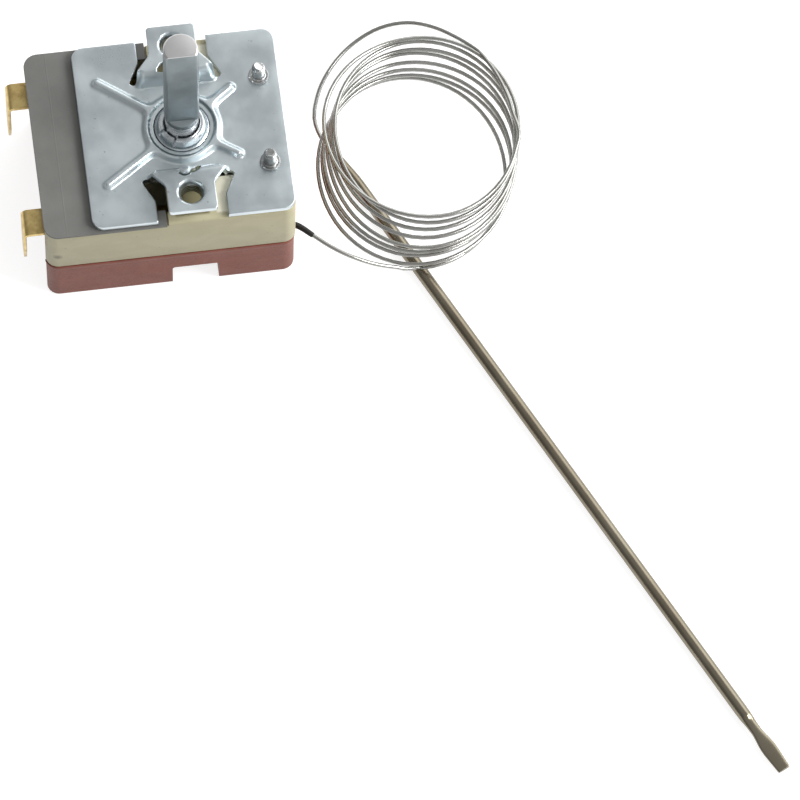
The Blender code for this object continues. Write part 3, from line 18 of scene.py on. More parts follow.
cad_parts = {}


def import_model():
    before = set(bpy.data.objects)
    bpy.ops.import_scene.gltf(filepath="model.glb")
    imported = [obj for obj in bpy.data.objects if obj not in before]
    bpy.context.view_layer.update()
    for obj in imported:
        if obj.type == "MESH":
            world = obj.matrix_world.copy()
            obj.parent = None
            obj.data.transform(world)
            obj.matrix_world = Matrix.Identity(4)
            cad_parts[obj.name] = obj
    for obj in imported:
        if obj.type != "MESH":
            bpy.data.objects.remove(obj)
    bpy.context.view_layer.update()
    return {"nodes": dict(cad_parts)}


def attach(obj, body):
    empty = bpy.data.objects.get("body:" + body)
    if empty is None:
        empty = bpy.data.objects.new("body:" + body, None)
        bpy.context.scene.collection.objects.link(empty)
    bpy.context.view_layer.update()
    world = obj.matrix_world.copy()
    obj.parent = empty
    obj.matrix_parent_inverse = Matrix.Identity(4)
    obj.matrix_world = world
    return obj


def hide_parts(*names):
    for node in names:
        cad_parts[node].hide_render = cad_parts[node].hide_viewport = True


LOG = logging.getLogger("thermostat")
MM = 0.001
RIVET_X = 14.1
RIVET_Y = 8.2
HALF_DEPTH = 17.1
WHITE = (1.0, 1.0, 1.0)
# Most of a noise's values lie in this range.
MOST = (0.3, 0.7)

Point = tuple[float, float]
Place = tuple[float, float, float]
Colour = tuple[float, float, float]
Socket = bpy.types.NodeSocket
Piece = bpy.types.Object
Material = bpy.types.Material


class Slot(Enum):
    """The record's material slots."""

    ZINC = "zinc_steel"
    TURNED = "turned_steel"
    BRASS = "brass_strip"
    SILVER = "contact_silver"
    BRONZE = "spring_bronze"
    CREAM = "cream_moulding"
    RED = "red_moulding"
    SHEET = "grey_sheet"
    CERAMIC = "white_ceramic"
    SLEEVE = "black_sleeve"
    CAPILLARY = "capillary_steel"


class Axis(Enum):
    """The axis that a swept outline is laid across."""

    X = 0
    Y = 1
    Z = 2


def tone(red: int, green: int, blue: int) -> Colour:
    """Turn a colour as a screen shows it, in parts of 255, into linear light.

    Args:
        red: Red.
        green: Green.
        blue: Blue.

    Returns:
        The colour's three linear parts.
    """
    shares = (part / 255 for part in (red, green, blue))
    return tuple(share / 12.92 if share <= 0.04045 else ((share + 0.055) / 1.055) ** 2.4 for share in shares)


class Value:
    """A number in a node tree, which adds a Math node wherever it is reckoned with."""

    def __init__(self, graph: "Graph", socket: Socket) -> None:
        """Hold a socket and the graph that it is part of."""
        self.graph = graph
        self.socket = socket

    def __add__(self, other: object) -> "Value":
        """Return the sum."""
        return self.graph.math("ADD", self, other)

    def __sub__(self, other: object) -> "Value":
        """Return the difference."""
        return self.graph.math("SUBTRACT", self, other)

    def __rsub__(self, other: float) -> "Value":
        """Return a constant less this."""
        return self.graph.math("SUBTRACT", other, self)

    def __mul__(self, other: object) -> "Value":
        """Return the product."""
        return self.graph.math("MULTIPLY", self, other)

    def __truediv__(self, other: object) -> "Value":
        """Return the quotient."""
        return self.graph.math("DIVIDE", self, other)

    def __rtruediv__(self, other: float) -> "Value":
        """Return a constant over this."""
        return self.graph.math("DIVIDE", other, self)

    def __pow__(self, power: float) -> "Value":
        """Return the power."""
        return self.graph.math("POWER", self, power)

    def __abs__(self) -> "Value":
        """Return the absolute value."""
        return self.graph.math("ABSOLUTE", self)

    def root(self) -> "Value":
        """Return the square root."""
        return self.graph.math("SQRT", self)

    def at_least(self, other: object) -> "Value":
        """Return the greater of this and another."""
        return self.graph.math("MAXIMUM", self, other)

    def at_most(self, other: object) -> "Value":
        """Return the lesser of this and another."""
        return self.graph.math("MINIMUM", self, other)


class Graph:
    """Lays out the nodes of one tree."""

    def __init__(self, tree: bpy.types.NodeTree) -> None:
        """Hold the tree."""
        self.tree = tree

    def feed(self, socket: Socket, value: object) -> None:
        """Link a socket to another, or set its constant."""
        source = value.socket if isinstance(value, Value) else value
        if isinstance(source, Socket):
            self.tree.links.new(source, socket)
        elif isinstance(source, tuple) and socket.type == "RGBA":
            socket.default_value = (*source, 1.0)
        else:
            socket.default_value = source

    def node(self, kind: str, inputs: dict[object, object] | None = None,
             **settings: object) -> bpy.types.Node:
        """Add a node, set its properties and feed its inputs by name or number."""
        added = self.tree.nodes.new(kind)
        for key, value in settings.items():
            setattr(added, key, value)
        for key, value in (inputs or {}).items():
            self.feed(added.inputs[key], value)
        return added

    def value(self, kind: str, inputs: dict[object, object], output: object = 0, **settings: object) -> Value:
        """Add a node and return one of its outputs as a value."""
        return Value(self, self.node(kind, inputs, **settings).outputs[output])

    def math(self, operation: str, *values: object) -> Value:
        """Return the result of a Math node."""
        return self.value("ShaderNodeMath", dict(enumerate(values)), operation=operation)

    def axes(self, vector: object) -> list[Value]:
        """Return a vector's three parts."""
        return [Value(self, part) for part in self.node("ShaderNodeSeparateXYZ", {0: vector}).outputs]

    def vector(self, x: object, y: object, z: object) -> Value:
        """Join three values into a vector."""
        return self.value("ShaderNodeCombineXYZ", {0: x, 1: y, 2: z})

    def reach(self, x: object, y: object) -> Value:
        """Return how far a point in plan is from the origin."""
        return self.value("ShaderNodeVectorMath", {0: self.vector(x, y, 0.0)}, "Value", operation="LENGTH")

    def span(self, value: object, low: object, high: object, start: float = 0.0, end: object = 1.0,
             kind: str = "SMOOTHSTEP") -> Value:
        """Map a value from low..high to start..end, eased and held at both ends."""
        inputs = {"Value": value, "From Min": low, "From Max": high, "To Min": start, "To Max": end}
        return self.value("ShaderNodeMapRange", inputs, "Result", interpolation_type=kind)

    def until(self, value: Value, edge: float, soft: float, full: float = 1.0) -> Value:
        """Return full below a soft step, which ends in 0 at an edge, with edge and soft in millimetres."""
        return self.span(value, (edge - soft) * MM, edge * MM, full, 0.0)


class ShaderTree(Graph):
    """Lays out one material's nodes in front of its Principled shader."""

    def __init__(self, name: str) -> None:
        """Start a material with the given name."""
        self.material = bpy.data.materials.new(name)
        self.material.use_nodes = True
        super().__init__(self.material.node_tree)
        self.shader = self.tree.nodes["Principled BSDF"]

    def shade(self, **inputs: object) -> None:
        """Set the shader's own inputs, each named in small letters."""
        for key, value in inputs.items():
            self.feed(self.shader.inputs[key.replace("_", " ").title()], value)

    def place(self, scale: Place = (1.0, 1.0, 1.0)) -> Socket:
        """Return scaled Object coordinates, in metres."""
        place = self.node("ShaderNodeTexCoord").outputs["Object"]
        return self.node("ShaderNodeMapping", {"Vector": place, "Scale": scale}).outputs["Vector"]

    def lathe_place(self, around: float, along: float) -> Value:
        """Return coordinates of turning marks: the radius and the height, with hardly any change around.

        Args:
            around: How fast the marks change round the axis.
            along: How fast they change along the radius and the height.

        Returns:
            A vector for a noise texture.
        """
        x, y, z = self.axes(self.place())
        return self.vector(self.reach(x, y) * along, z * along, x * around)

    def noise(self, grain: "Grain") -> Value:
        """Return a noise value, from 0 to 1 and mostly near a half."""
        place = self.lathe_place(*grain.lathe) if grain.lathe else self.place(grain.stretch)
        inputs = {"Vector": place, "Scale": grain.scale, "Detail": grain.detail, "Roughness": grain.rough,
                  "Distortion": grain.bend}
        return self.value("ShaderNodeTexNoise", inputs, "Fac")

    def blend(self, share: object, first: object, second: object) -> Socket:
        """Mix two colours by a share."""
        return self.node("ShaderNodeMix", {0: share, 6: first, 7: second}, data_type="RGBA").outputs[2]

    def bump(self, height: Value, depth: float, strength: float,
             under: Socket | None = None) -> Socket:
        """Return a normal roughened by a height, whose full range is depth in millimetres."""
        inputs = {"Strength": strength, "Distance": depth * MM, "Height": height}
        if under is not None:
            inputs["Normal"] = under
        return self.node("ShaderNodeBump", inputs).outputs["Normal"]


@dataclass(frozen=True)
class Grain:
    """A noise, whose place may be stretched, or turned as a lathe's marks are."""

    scale: float
    detail: float = 3.0
    rough: float = 0.55
    bend: float = 0.0
    stretch: Place = (1.0, 1.0, 1.0)
    lathe: Point | None = None


@dataclass(frozen=True)
class Finish:
    """A finish of two close colours in clouds, with other noises in its colour, its gloss and its relief.

    Each row of layers has a noise, the two values between which it sets in, its full share and its colour.
    Each row of gloss has a noise and the roughness that it adds at its low and its high values. Each row of
    relief has a noise, its depth in millimetres and its strength.
    """

    name: str
    first: Colour
    second: Colour
    cloud: Grain
    metallic: float
    gloss: tuple[tuple[Grain, float, float], ...]
    layers: tuple[tuple[Grain, float, float, float, Colour], ...] = ()
    relief: tuple[tuple[Grain, float, float], ...] = ()
    middle: Point = MOST
    specular: float = 0.5

    @classmethod
    def smooth(cls, name: str, first: Colour, second: Colour, metallic: float, roughness: float,
               scale: float = 900.0) -> "Finish":
        """Return a plain finish, whose fine clouds are in its gloss as well."""
        cloud = Grain(scale)
        return cls(name, first, second, cloud, metallic, ((cloud, roughness - 0.05, roughness + 0.05),))

    def material(self) -> Material:
        """Return the finish as a material."""
        tree = ShaderTree(self.name)
        body = tree.blend(tree.span(tree.noise(self.cloud), *self.middle), self.first, self.second)
        for grain, low, high, share, colour in self.layers:
            body = tree.blend(tree.span(tree.noise(grain), low, high, 0.0, share), body, colour)
        rough = [tree.span(tree.noise(grain), *MOST, low, high) for grain, low, high in self.gloss]
        tree.shade(metallic=self.metallic, roughness=sum(rough[1:], rough[0]))
        tree.feed(tree.shader.inputs["Specular IOR Level"], self.specular)
        normal = self.ridge(tree)
        for grain, depth, strength in self.relief:
            normal = tree.bump(tree.noise(grain), depth, strength, normal)
            tree.shade(normal=normal)
        tree.shade(base_color=self.mark(tree, body))
        return tree.material

    def ridge(self, tree: ShaderTree) -> Socket | None:
        """Return the relief that lies under the noises' own, here none."""
        return None

    def mark(self, tree: ShaderTree, body: Socket) -> Socket:
        """Return the body colour, here without marks."""
        return body


@dataclass(frozen=True)
class PlateFinish(Finish):
    """The plate's finish, with a painted shade ring round the bush, and threads in the tabs' holes drawn in
    painted shade and highlight.
    """

    # Painted shade in the threads' roots and painted highlight on their crests, in the tabs' holes; the
    # threads have no relief.
    bore: Colour = tone(46, 50, 50)
    crest: Colour = tone(170, 178, 180)
    bore_place: float = 14.0
    bore_radius: float = 1.8
    bore_soft: float = 0.03
    bore_pitch: float = 0.6
    # Painted shade: a dark ring in the step round the bush.
    groove_shade: Colour = tone(72, 92, 96)
    groove_radius: float = 5.62
    groove_width: float = 0.35
    groove_soft: float = 0.25

    def mark(self, tree: ShaderTree, body: Socket) -> Socket:
        """Return the body colour with the painted shade ring and the threads' painted shade and highlight on
        it.
        """
        x, y, z = tree.axes(tree.place())
        # Painted shade ring round the bush.
        from_groove = abs(tree.reach(x, y) - self.groove_radius * MM)
        in_shade_ring = tree.until(from_groove, self.groove_width, self.groove_soft, 0.8)
        # Threads drawn only in colour: painted shade in their roots, painted highlight on their crests.
        wave = tree.math("SINE", z * (2 * math.pi / (self.bore_pitch * MM)))
        thread = tree.blend(tree.span(wave, 0.2, 0.9), self.bore, self.crest)
        from_bore = tree.reach(x, abs(y) - self.bore_place * MM)
        in_thread_shading = tree.until(from_bore, self.bore_radius + self.bore_soft, 2 * self.bore_soft)
        return tree.blend(in_thread_shading, tree.blend(in_shade_ring, body, self.groove_shade), thread)


@dataclass(frozen=True)
class HousingFinish(Finish):
    """The housing's finish, with a smudge on its wall, painted light on the ledges under the slots and
    painted shade under the tabs.
    """

    speck: Colour = tone(96, 88, 72)
    smudge: Place = (-23.3, -17.1, 14.9)
    smudge_radius: float = 1.8
    # Painted light: the ledges under the slots made paler than the cream.
    lit_ledge: Colour = tone(240, 236, 214)
    ledge_start: float = 4.4
    ledge_end: float = 10.4
    # Painted shade: the cream under the tabs made dark olive.
    under_tab_shade: Colour = tone(104, 97, 62)
    under_tab_shade_half: float = 3.2
    wall_inside: float = 16.2
    soft: float = 0.6

    def mark(self, tree: ShaderTree, body: Socket) -> Socket:
        """Return the body colour with the smudge, the ledges' painted light and the painted shade under the
        tabs on it.
        """
        place = tree.place()
        x, y, _ = tree.axes(place)
        cloud = tree.noise(self.cloud)
        centre = tuple(part * MM for part in self.smudge)
        away = tree.value("ShaderNodeVectorMath", {0: place, 1: centre}, "Value", operation="DISTANCE")
        body = tree.blend(tree.until(cloud * 0.0012 + away, self.smudge_radius, 1.0, 0.75), body, self.speck)
        inside = tree.until(abs(y), self.wall_inside, self.soft)
        # Painted light on the ledges under the right slots.
        lit_shelf = inside * tree.until(x, self.ledge_end, 1.0)
        lit_shelf = lit_shelf * (1.0 - tree.until(x, self.ledge_start, self.soft))
        # Painted shade under the tabs.
        below = inside * tree.until(abs(x), self.under_tab_shade_half, self.soft) * tree.span(cloud, 0.4, 0.6, 0.7, 1.0)
        return tree.blend(below, tree.blend(lit_shelf, body, self.lit_ledge), self.under_tab_shade)


@dataclass(frozen=True)
class CreasedFinish(Finish):
    """The insulating sheet's finish, with one crease across it."""

    crease_x: float = -21.5
    crease_width: float = 0.16

    def crease(self, tree: ShaderTree) -> Value:
        """Return 1 in the middle of the crease, and 0 off it."""
        away = abs(tree.axes(tree.place())[0] - self.crease_x * MM)
        return tree.until(away, self.crease_width, self.crease_width)

    def ridge(self, tree: ShaderTree) -> Socket:
        """Return the crease's relief."""
        return tree.bump(self.crease(tree), 0.03, 0.5)

    def mark(self, tree: ShaderTree, body: Socket) -> Socket:
        """Return the body colour with the crease on it."""
        return tree.blend(self.crease(tree) * 0.2, body, self.second)


@dataclass(frozen=True)
class ShaftFinish(Finish):
    """The spindle's plating, with a painted highlight on its faced end."""

    # Painted highlight: the faced end made brighter than the plating.
    end: Colour = tone(204, 203, 203)
    end_height: float = 53.66
    end_soft: float = 0.2

    def mark(self, tree: ShaderTree, body: Socket) -> Socket:
        """Return the body colour, which gives way to the end's painted highlight above its height."""
        height = tree.axes(tree.place())[2]
        share = tree.span(height, self.end_height * MM, (self.end_height + self.end_soft) * MM)
        return tree.blend(share, body, self.end)


def turned_steel(name: str, pale: Colour, dark: Colour) -> Finish:
    """Return turned steel, with fine rings from the tool and darker oily patches."""
    rings = Grain(1.0, 2.0, 0.6, lathe=(30.0, 9000.0))
    cloud = Grain(420.0, 3.0, 0.5)
    return Finish(name, pale, dark, cloud, 1.0, ((cloud, 0.15, 0.3),), ((rings, 0.55, 0.8, 0.45, dark),),
                  ((rings, 0.006, 0.6),), (0.35, 0.72))


def drawn_steel(name: str, dark: Colour, pale: Colour, tarnish: Colour,
                warm: float, roughness: float) -> Finish:
    """Return a drawn tube's steel: smooth, with a warm tarnish in patches."""
    cloud = Grain(150.0, 2.0, 0.5)
    return Finish(name, dark, pale, cloud, 1.0, ((cloud, roughness - 0.03, roughness + 0.03),),
                  ((Grain(60.0), 0.42, 0.62, warm, tarnish),))


class FinishShop:
    """Holds one material for each slot, made when it is first asked for."""

    ZINC_CLOUD = Grain(140.0, 4.0)
    ZINC_GRAIN = Grain(5200.0, 2.0, 0.6)
    PIT = tone(140, 144, 144)
    BRASS_CLOUD = Grain(700.0, 4.0, 0.6)
    FLOW = Grain(160.0, 4.0, bend=0.8, stretch=(1.0, 1.0, 1.6))
    SKIN = Grain(4200.0, 2.0)
    DUST = Grain(1900.0, 1.0, 0.3)
    FIBRE = Grain(1800.0, 3.0, 0.6, 0.8, (1.0, 3.0, 1.0))
    SHEET_CLOUD = Grain(220.0, 3.0, 0.5)
    MOULDED = ((FLOW, 0.03, 0.3), (SKIN, 0.006, 0.5))

    FINISHES = {
        Slot.ZINC: PlateFinish(
            "zinc plated sheet", tone(191, 200, 204), tone(210, 219, 222), ZINC_CLOUD, 1.0,
            ((ZINC_CLOUD, 0.3, 0.39), (ZINC_GRAIN, -0.03, 0.03)),
            ((ZINC_GRAIN, 0.64, 0.82, 0.16, PIT), (Grain(1500.0, 1.0, 0.4), 0.75, 0.8, 0.5, PIT),
             (Grain(420.0, 3.0, 0.6, 0.6, (1.0, 7.0, 1.0)), 0.66, 0.74, 0.3, tone(210, 219, 222))),
            ((Grain(900.0, 3.0, 0.6), 0.008, 0.4), (ZINC_GRAIN, 0.004, 0.5))),
        Slot.TURNED: turned_steel("turned steel", tone(212, 213, 212), tone(140, 141, 142)),
        Slot.BRASS: Finish(
            "brass strip", tone(220, 196, 134), tone(196, 170, 112), BRASS_CLOUD, 1.0,
            ((BRASS_CLOUD, 0.28, 0.42),), ((BRASS_CLOUD, 0.62, 0.8, 0.7, tone(134, 112, 74)),),
            ((Grain(900.0, 2.0, 0.5, stretch=(1.0, 12.0, 1.0)), 0.006, 0.4),), (0.32, 0.68)),
        Slot.SILVER: Finish.smooth("contact silver", tone(190, 188, 182), tone(214, 212, 206), 1.0, 0.3),
        Slot.BRONZE: Finish.smooth("spring bronze", tone(166, 118, 76), tone(190, 142, 96), 1.0, 0.34),
        Slot.CREAM: HousingFinish(
            "cream moulding", tone(183, 176, 144), tone(190, 184, 152), FLOW, 0.0, ((SKIN, 0.4, 0.54),),
            ((DUST, 0.77, 0.83, 0.3, tone(96, 88, 72)),), MOULDED, specular=0.45),
        Slot.RED: Finish(
            "red moulding", tone(128, 73, 60), tone(138, 81, 68), FLOW, 0.0, ((SKIN, 0.44, 0.58),),
            ((DUST, 0.77, 0.83, 0.3, tone(84, 54, 48)),), MOULDED, specular=0.32),
        Slot.SHEET: CreasedFinish(
            "grey fibre sheet", tone(106, 106, 103), tone(112, 112, 109), SHEET_CLOUD, 0.0,
            ((SHEET_CLOUD, 0.62, 0.62),), ((FIBRE, 0.6, 0.78, 0.3, tone(112, 112, 109)),),
            ((FIBRE, 0.008, 0.6),)),
        Slot.CERAMIC: Finish.smooth("white ceramic", tone(222, 218, 208), tone(232, 229, 220), 0.0, 0.4),
        Slot.SLEEVE: Finish.smooth("black sleeve", tone(8, 8, 8), tone(14, 14, 15), 0.0, 0.5),
        Slot.CAPILLARY: drawn_steel(
            "capillary steel", tone(158, 158, 155), tone(172, 172, 169), tone(142, 138, 128), 0.2, 0.18),
    }

    def __init__(self) -> None:
        """Start with no material made."""
        self.made: dict[Slot, Material] = {}

    def material(self, slot: Slot) -> Material:
        """Return the material of a slot."""
        if slot not in self.made:
            self.made[slot] = self.FINISHES[slot].material()
        return self.made[slot]


def arc(centre: Point, radius: float, start: float, end: float, steps: int) -> list[Point]:
    """Return points of a circular arc.

    Args:
        centre: The arc's centre.
        radius: Its radius.
        start: Its first angle, in degrees.
        end: Its last angle, in degrees.
        steps: How many chords it has.

    Returns:
        One point more than it has chords.
    """
    angles = [math.radians(start + (end - start) * i / steps) for i in range(steps + 1)]
    return [(centre[0] + radius * math.cos(a), centre[1] + radius * math.sin(a)) for a in angles]


def ring_points(centre: Point, radius: float, steps: int) -> list[Point]:
    """Return the points of a full circle."""
    return arc(centre, radius, 0.0, 360.0 - 360.0 / steps, steps - 1)


def round_corners(left: float, right: float, front: float, back: float,
                  radius: float, steps: int) -> list[Point]:
    """Return a rectangle with four equal round corners, anticlockwise from its front left."""
    return (
        arc((left + radius, front + radius), radius, 180.0, 270.0, steps)
        + arc((right - radius, front + radius), radius, 270.0, 360.0, steps)
        + arc((right - radius, back - radius), radius, 0.0, 90.0, steps)
        + arc((left + radius, back - radius), radius, 90.0, 180.0, steps)
    )


def smooth_path(points: list[Place], spacing: float) -> list[Vector]:
    """Return points of a smooth curve through a route.

    Args:
        points: The route's own points.
        spacing: The distance wanted between the curve's points.

    Returns:
        The curve's points, the route's own among them.
    """
    knots = [Vector(point) for point in points]
    padded = [knots[0] * 2 - knots[1]] + knots + [knots[-1] * 2 - knots[-2]]
    result = [knots[0]]
    for a, b, c, d in zip(padded, padded[1:], padded[2:], padded[3:]):
        steps = max(1, round((c - b).length / spacing))
        for i in range(1, steps + 1):
            t = i / steps
            bend = (a * 2 - b * 5 + c * 4 - d) * t * t
            twist = (b * 3 - a - c * 3 + d) * t ** 3
            result.append((b * 2 + (c - a) * t + bend + twist) / 2)
    return result


class Draft:
    """A mesh in the making, in millimetres, that becomes an object in metres."""

    def __init__(self) -> None:
        """Start with an empty mesh."""
        self.bm = bmesh.new()

    @classmethod
    def turned(cls, profile: list[Point], steps: int) -> "Draft":
        """Spin a profile of radius and height round the upright axis.

        Args:
            profile: The points, closed into a ring unless both ends are on the axis.
            steps: How many facets it has.

        Returns:
            The draft.
        """
        draft = cls()
        closed = profile[0][0] > 0 or profile[-1][0] > 0
        rings = []
        for i in range(steps):
            angle = 2 * math.pi * i / steps
            across, along = math.cos(angle), math.sin(angle)
            rings.append([draft.bm.verts.new((r * across, r * along, z)) for r, z in profile])
        count = len(profile)
        for i in range(steps):
            this, following = rings[i], rings[(i + 1) % steps]
            for j in range(count if closed else count - 1):
                k = (j + 1) % count
                draft.bm.faces.new((this[j], following[j], following[k], this[k]))
        return draft

    @classmethod
    def lofted(cls, rings: list[list[Place]]) -> "Draft":
        """Join rings of equal length into one closed body, with a cap at each end."""
        draft = cls()
        laid = [[draft.bm.verts.new(point) for point in ring] for ring in rings]
        count = len(laid[0])
        for lower, upper in zip(laid, laid[1:]):
            for i in range(count):
                j = (i + 1) % count
                draft.bm.faces.new((lower[i], lower[j], upper[j], upper[i]))
        draft.bm.faces.new(laid[0][::-1])
        draft.bm.faces.new(laid[-1])
        return draft

    @classmethod
    def layered(cls, layers: list[tuple[list[Point], float]], axis: Axis = Axis.Z) -> "Draft":
        """Join flat outlines, each given with its place along an axis."""
        at = axis.value
        rings = [[(*spot[:at], level, *spot[at:]) for spot in outline] for outline, level in layers]
        return cls.lofted(rings)

    @classmethod
    def block(cls, low: Place, high: Place) -> "Draft":
        """Make a helper box between two corners."""
        outline = [(low[0], low[1]), (high[0], low[1]), (high[0], high[1]), (low[0], high[1])]
        return cls.layered([(outline, low[2]), (outline, high[2])])

    @classmethod
    def post(cls, centre: Point, radius: float, bottom: float, top: float, steps: int = 48) -> "Draft":
        """Make a helper cylinder that stands upright."""
        outline = ring_points(centre, radius, steps)
        return cls.layered([(outline, bottom), (outline, top)])

    @classmethod
    def tube(cls, points: list[Vector], radii: list[float], steps: int) -> "Draft":
        """Sweep a round section along a path, with one radius for each point."""
        rings = []
        across = Vector((0.0, 0.0, 1.0)).cross(points[1] - points[0]).normalized()
        for i, (point, radius) in enumerate(zip(points, radii)):
            along = (points[min(i + 1, len(points) - 1)] - points[max(i - 1, 0)]).normalized()
            across = (across - along * across.dot(along)).normalized()
            lift = along.cross(across)
            ring = []
            for j in range(steps):
                angle = 2 * math.pi * j / steps
                ring.append(tuple(point + (across * math.cos(angle) + lift * math.sin(angle)) * radius))
            rings.append(ring)
        return cls.lofted(rings)

    def make(self, name: str, angle: float = 32.0) -> Piece:
        """Merge, turn the faces out, scale to metres and link the mesh as an object.

        Args:
            name: The object's name.
            angle: Edges sharper than this, in degrees, stay sharp.

        Returns:
            The object, at the origin.
        """
        bmesh.ops.remove_doubles(self.bm, verts=self.bm.verts, dist=1e-4)
        bmesh.ops.recalc_face_normals(self.bm, faces=self.bm.faces)
        bmesh.ops.scale(self.bm, vec=(MM, MM, MM), verts=self.bm.verts)
        mesh = bpy.data.meshes.new(name)
        self.bm.to_mesh(mesh)
        self.bm.free()
        soften(mesh, angle)
        return linked(name, mesh)


def linked(name: str, data: bpy.types.ID) -> Piece:
    """Make an object of some data and put it in the scene."""
    made = bpy.data.objects.new(name, data)
    bpy.context.scene.collection.objects.link(made)
    return made


def soften(mesh: bpy.types.Mesh, angle: float) -> None:
    """Shade a mesh smooth, apart from edges sharper than an angle in degrees."""
    mesh.shade_smooth()
    mesh.set_sharp_from_angle(angle=math.radians(angle))


def settle(piece: Piece, angle: float = 32.0) -> Piece:
    """Replace an object by the plain mesh that its modifiers give.

    Args:
        piece: The object with its modifiers.
        angle: Edges sharper than this, in degrees, stay sharp.

    Returns:
        The object with the same name, its mesh made plain and without modifiers.
    """
    bpy.context.view_layer.update()
    graph = bpy.context.evaluated_depsgraph_get()
    mesh = bpy.data.meshes.new_from_object(piece.evaluated_get(graph), depsgraph=graph)
    piece.modifiers.clear()
    piece.data = mesh
    soften(mesh, angle)
    return piece


def bevelled(piece: Piece, width: float, segments: int, angle: float) -> Piece:
    """Round an object's sharp edges by a width in millimetres."""
    bevel = piece.modifiers.new("edge round", "BEVEL")
    bevel.width = width * MM
    bevel.segments = segments
    bevel.limit_method = "ANGLE"
    bevel.angle_limit = math.radians(angle)
    bevel.use_clamp_overlap = True
    return settle(piece)


def carved(piece: Piece, cuts: list[Draft], joins: list[Draft]) -> Piece:
    """Join helper bodies to an object and then cut others from it.

    Args:
        piece: The object.
        cuts: The bodies to cut away.
        joins: The bodies to add first.

    Returns:
        The same object with a plain mesh.
    """
    helpers = []
    for operation, drafts in (("UNION", joins), ("DIFFERENCE", cuts)):
        for draft in drafts:
            helper = draft.make("carving helper")
            modifier = piece.modifiers.new("carve", "BOOLEAN")
            modifier.operation = operation
            modifier.solver = "EXACT"
            modifier.object = helper
            helpers.append(helper)
    settle(piece)
    for helper in helpers:
        bpy.data.objects.remove(helper, do_unlink=True)
    return piece


def fit_piece(piece: Piece, body: str, slot: Slot, nodes: tuple[str, ...],
              shop: FinishShop, material: Material | None = None) -> Piece:
    """Give a piece its finish, its body and the CAD nodes that it stands for, and report it.

    Args:
        piece: The finished piece.
        body: The CAD body that it rides on.
        slot: The record's slot of its finish.
        nodes: The nodes that it replaces.
        shop: Where its material comes from.
        material: A material of its own in place of the slot's.

    Returns:
        The piece.
    """
    piece.data.materials.clear()
    piece.data.materials.append(material or shop.material(slot))
    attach(piece, body)
    if nodes:
        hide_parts(*nodes)
    LOG.info("%s rides on %s in place of %s", piece.name, body, ", ".join(nodes) or "nothing")
    return piece


class NodeWorks(Graph):
    """Builds a Geometry Nodes tree with named sizes and runs it on an object."""

    def __init__(self, name: str) -> None:
        """Start a tree with one geometry socket each way."""
        super().__init__(bpy.data.node_groups.new(name, "GeometryNodeTree"))
        for way in ("INPUT", "OUTPUT"):
            self.tree.interface.new_socket("Geometry", in_out=way, socket_type="NodeSocketGeometry")
        self.source = self.tree.nodes.new("NodeGroupInput")
        self.values: dict[str, float] = {}

    def size(self, name: str, value: float, kind: str = "NodeSocketFloat") -> Value:
        """Add a named input and return it as a value inside the tree."""
        item = self.tree.interface.new_socket(name, in_out="INPUT", socket_type=kind)
        self.values[item.identifier] = value
        return Value(self, self.source.outputs[name])

    def sizes(self, owner: object, *fields: str) -> list[Value]:
        """Add an owner's fields, which are in millimetres, as named inputs in metres."""
        names = [field.replace("_", " ").capitalize() for field in fields]
        return [self.size(name, getattr(owner, field) * MM) for name, field in zip(names, fields)]

    def attribute(self, name: str) -> Value:
        """Return a named attribute."""
        return self.value("GeometryNodeInputNamedAttribute", {"Name": name}, data_type="FLOAT")

    def lift(self, geometry: Socket, rise: Value) -> Socket:
        """Move a geometry's points up."""
        inputs = {"Geometry": geometry, "Offset": self.vector(0.0, 0.0, rise)}
        return self.node("GeometryNodeSetPosition", inputs).outputs[0]

    def join(self, parts: list[Socket]) -> Socket:
        """Join geometries into one."""
        joined = self.node("GeometryNodeJoinGeometry")
        for part in parts:
            self.feed(joined.inputs[0], part)
        return joined.outputs[0]

    def run(self, geometry: Socket, piece: Piece,
            material: Material, angle: float = 32.0) -> Piece:
        """End the tree, run it on an object and make the result the object's plain mesh.

        Args:
            geometry: The socket with the finished geometry.
            piece: The object that the tree runs on.
            material: The material that the tree sets.
            angle: Edges sharper than this, in degrees, stay sharp.

        Returns:
            The object.
        """
        real = self.node("GeometryNodeRealizeInstances", {0: geometry})
        dressed = self.node("GeometryNodeSetMaterial", {"Geometry": real.outputs[0], "Material": material})
        self.node("NodeGroupOutput", {0: dressed.outputs[0]})
        modifier = piece.modifiers.new(self.tree.name, "NODES")
        modifier.node_group = self.tree
        for identifier, value in self.values.items():
            modifier[identifier] = value
        return settle(piece, angle)


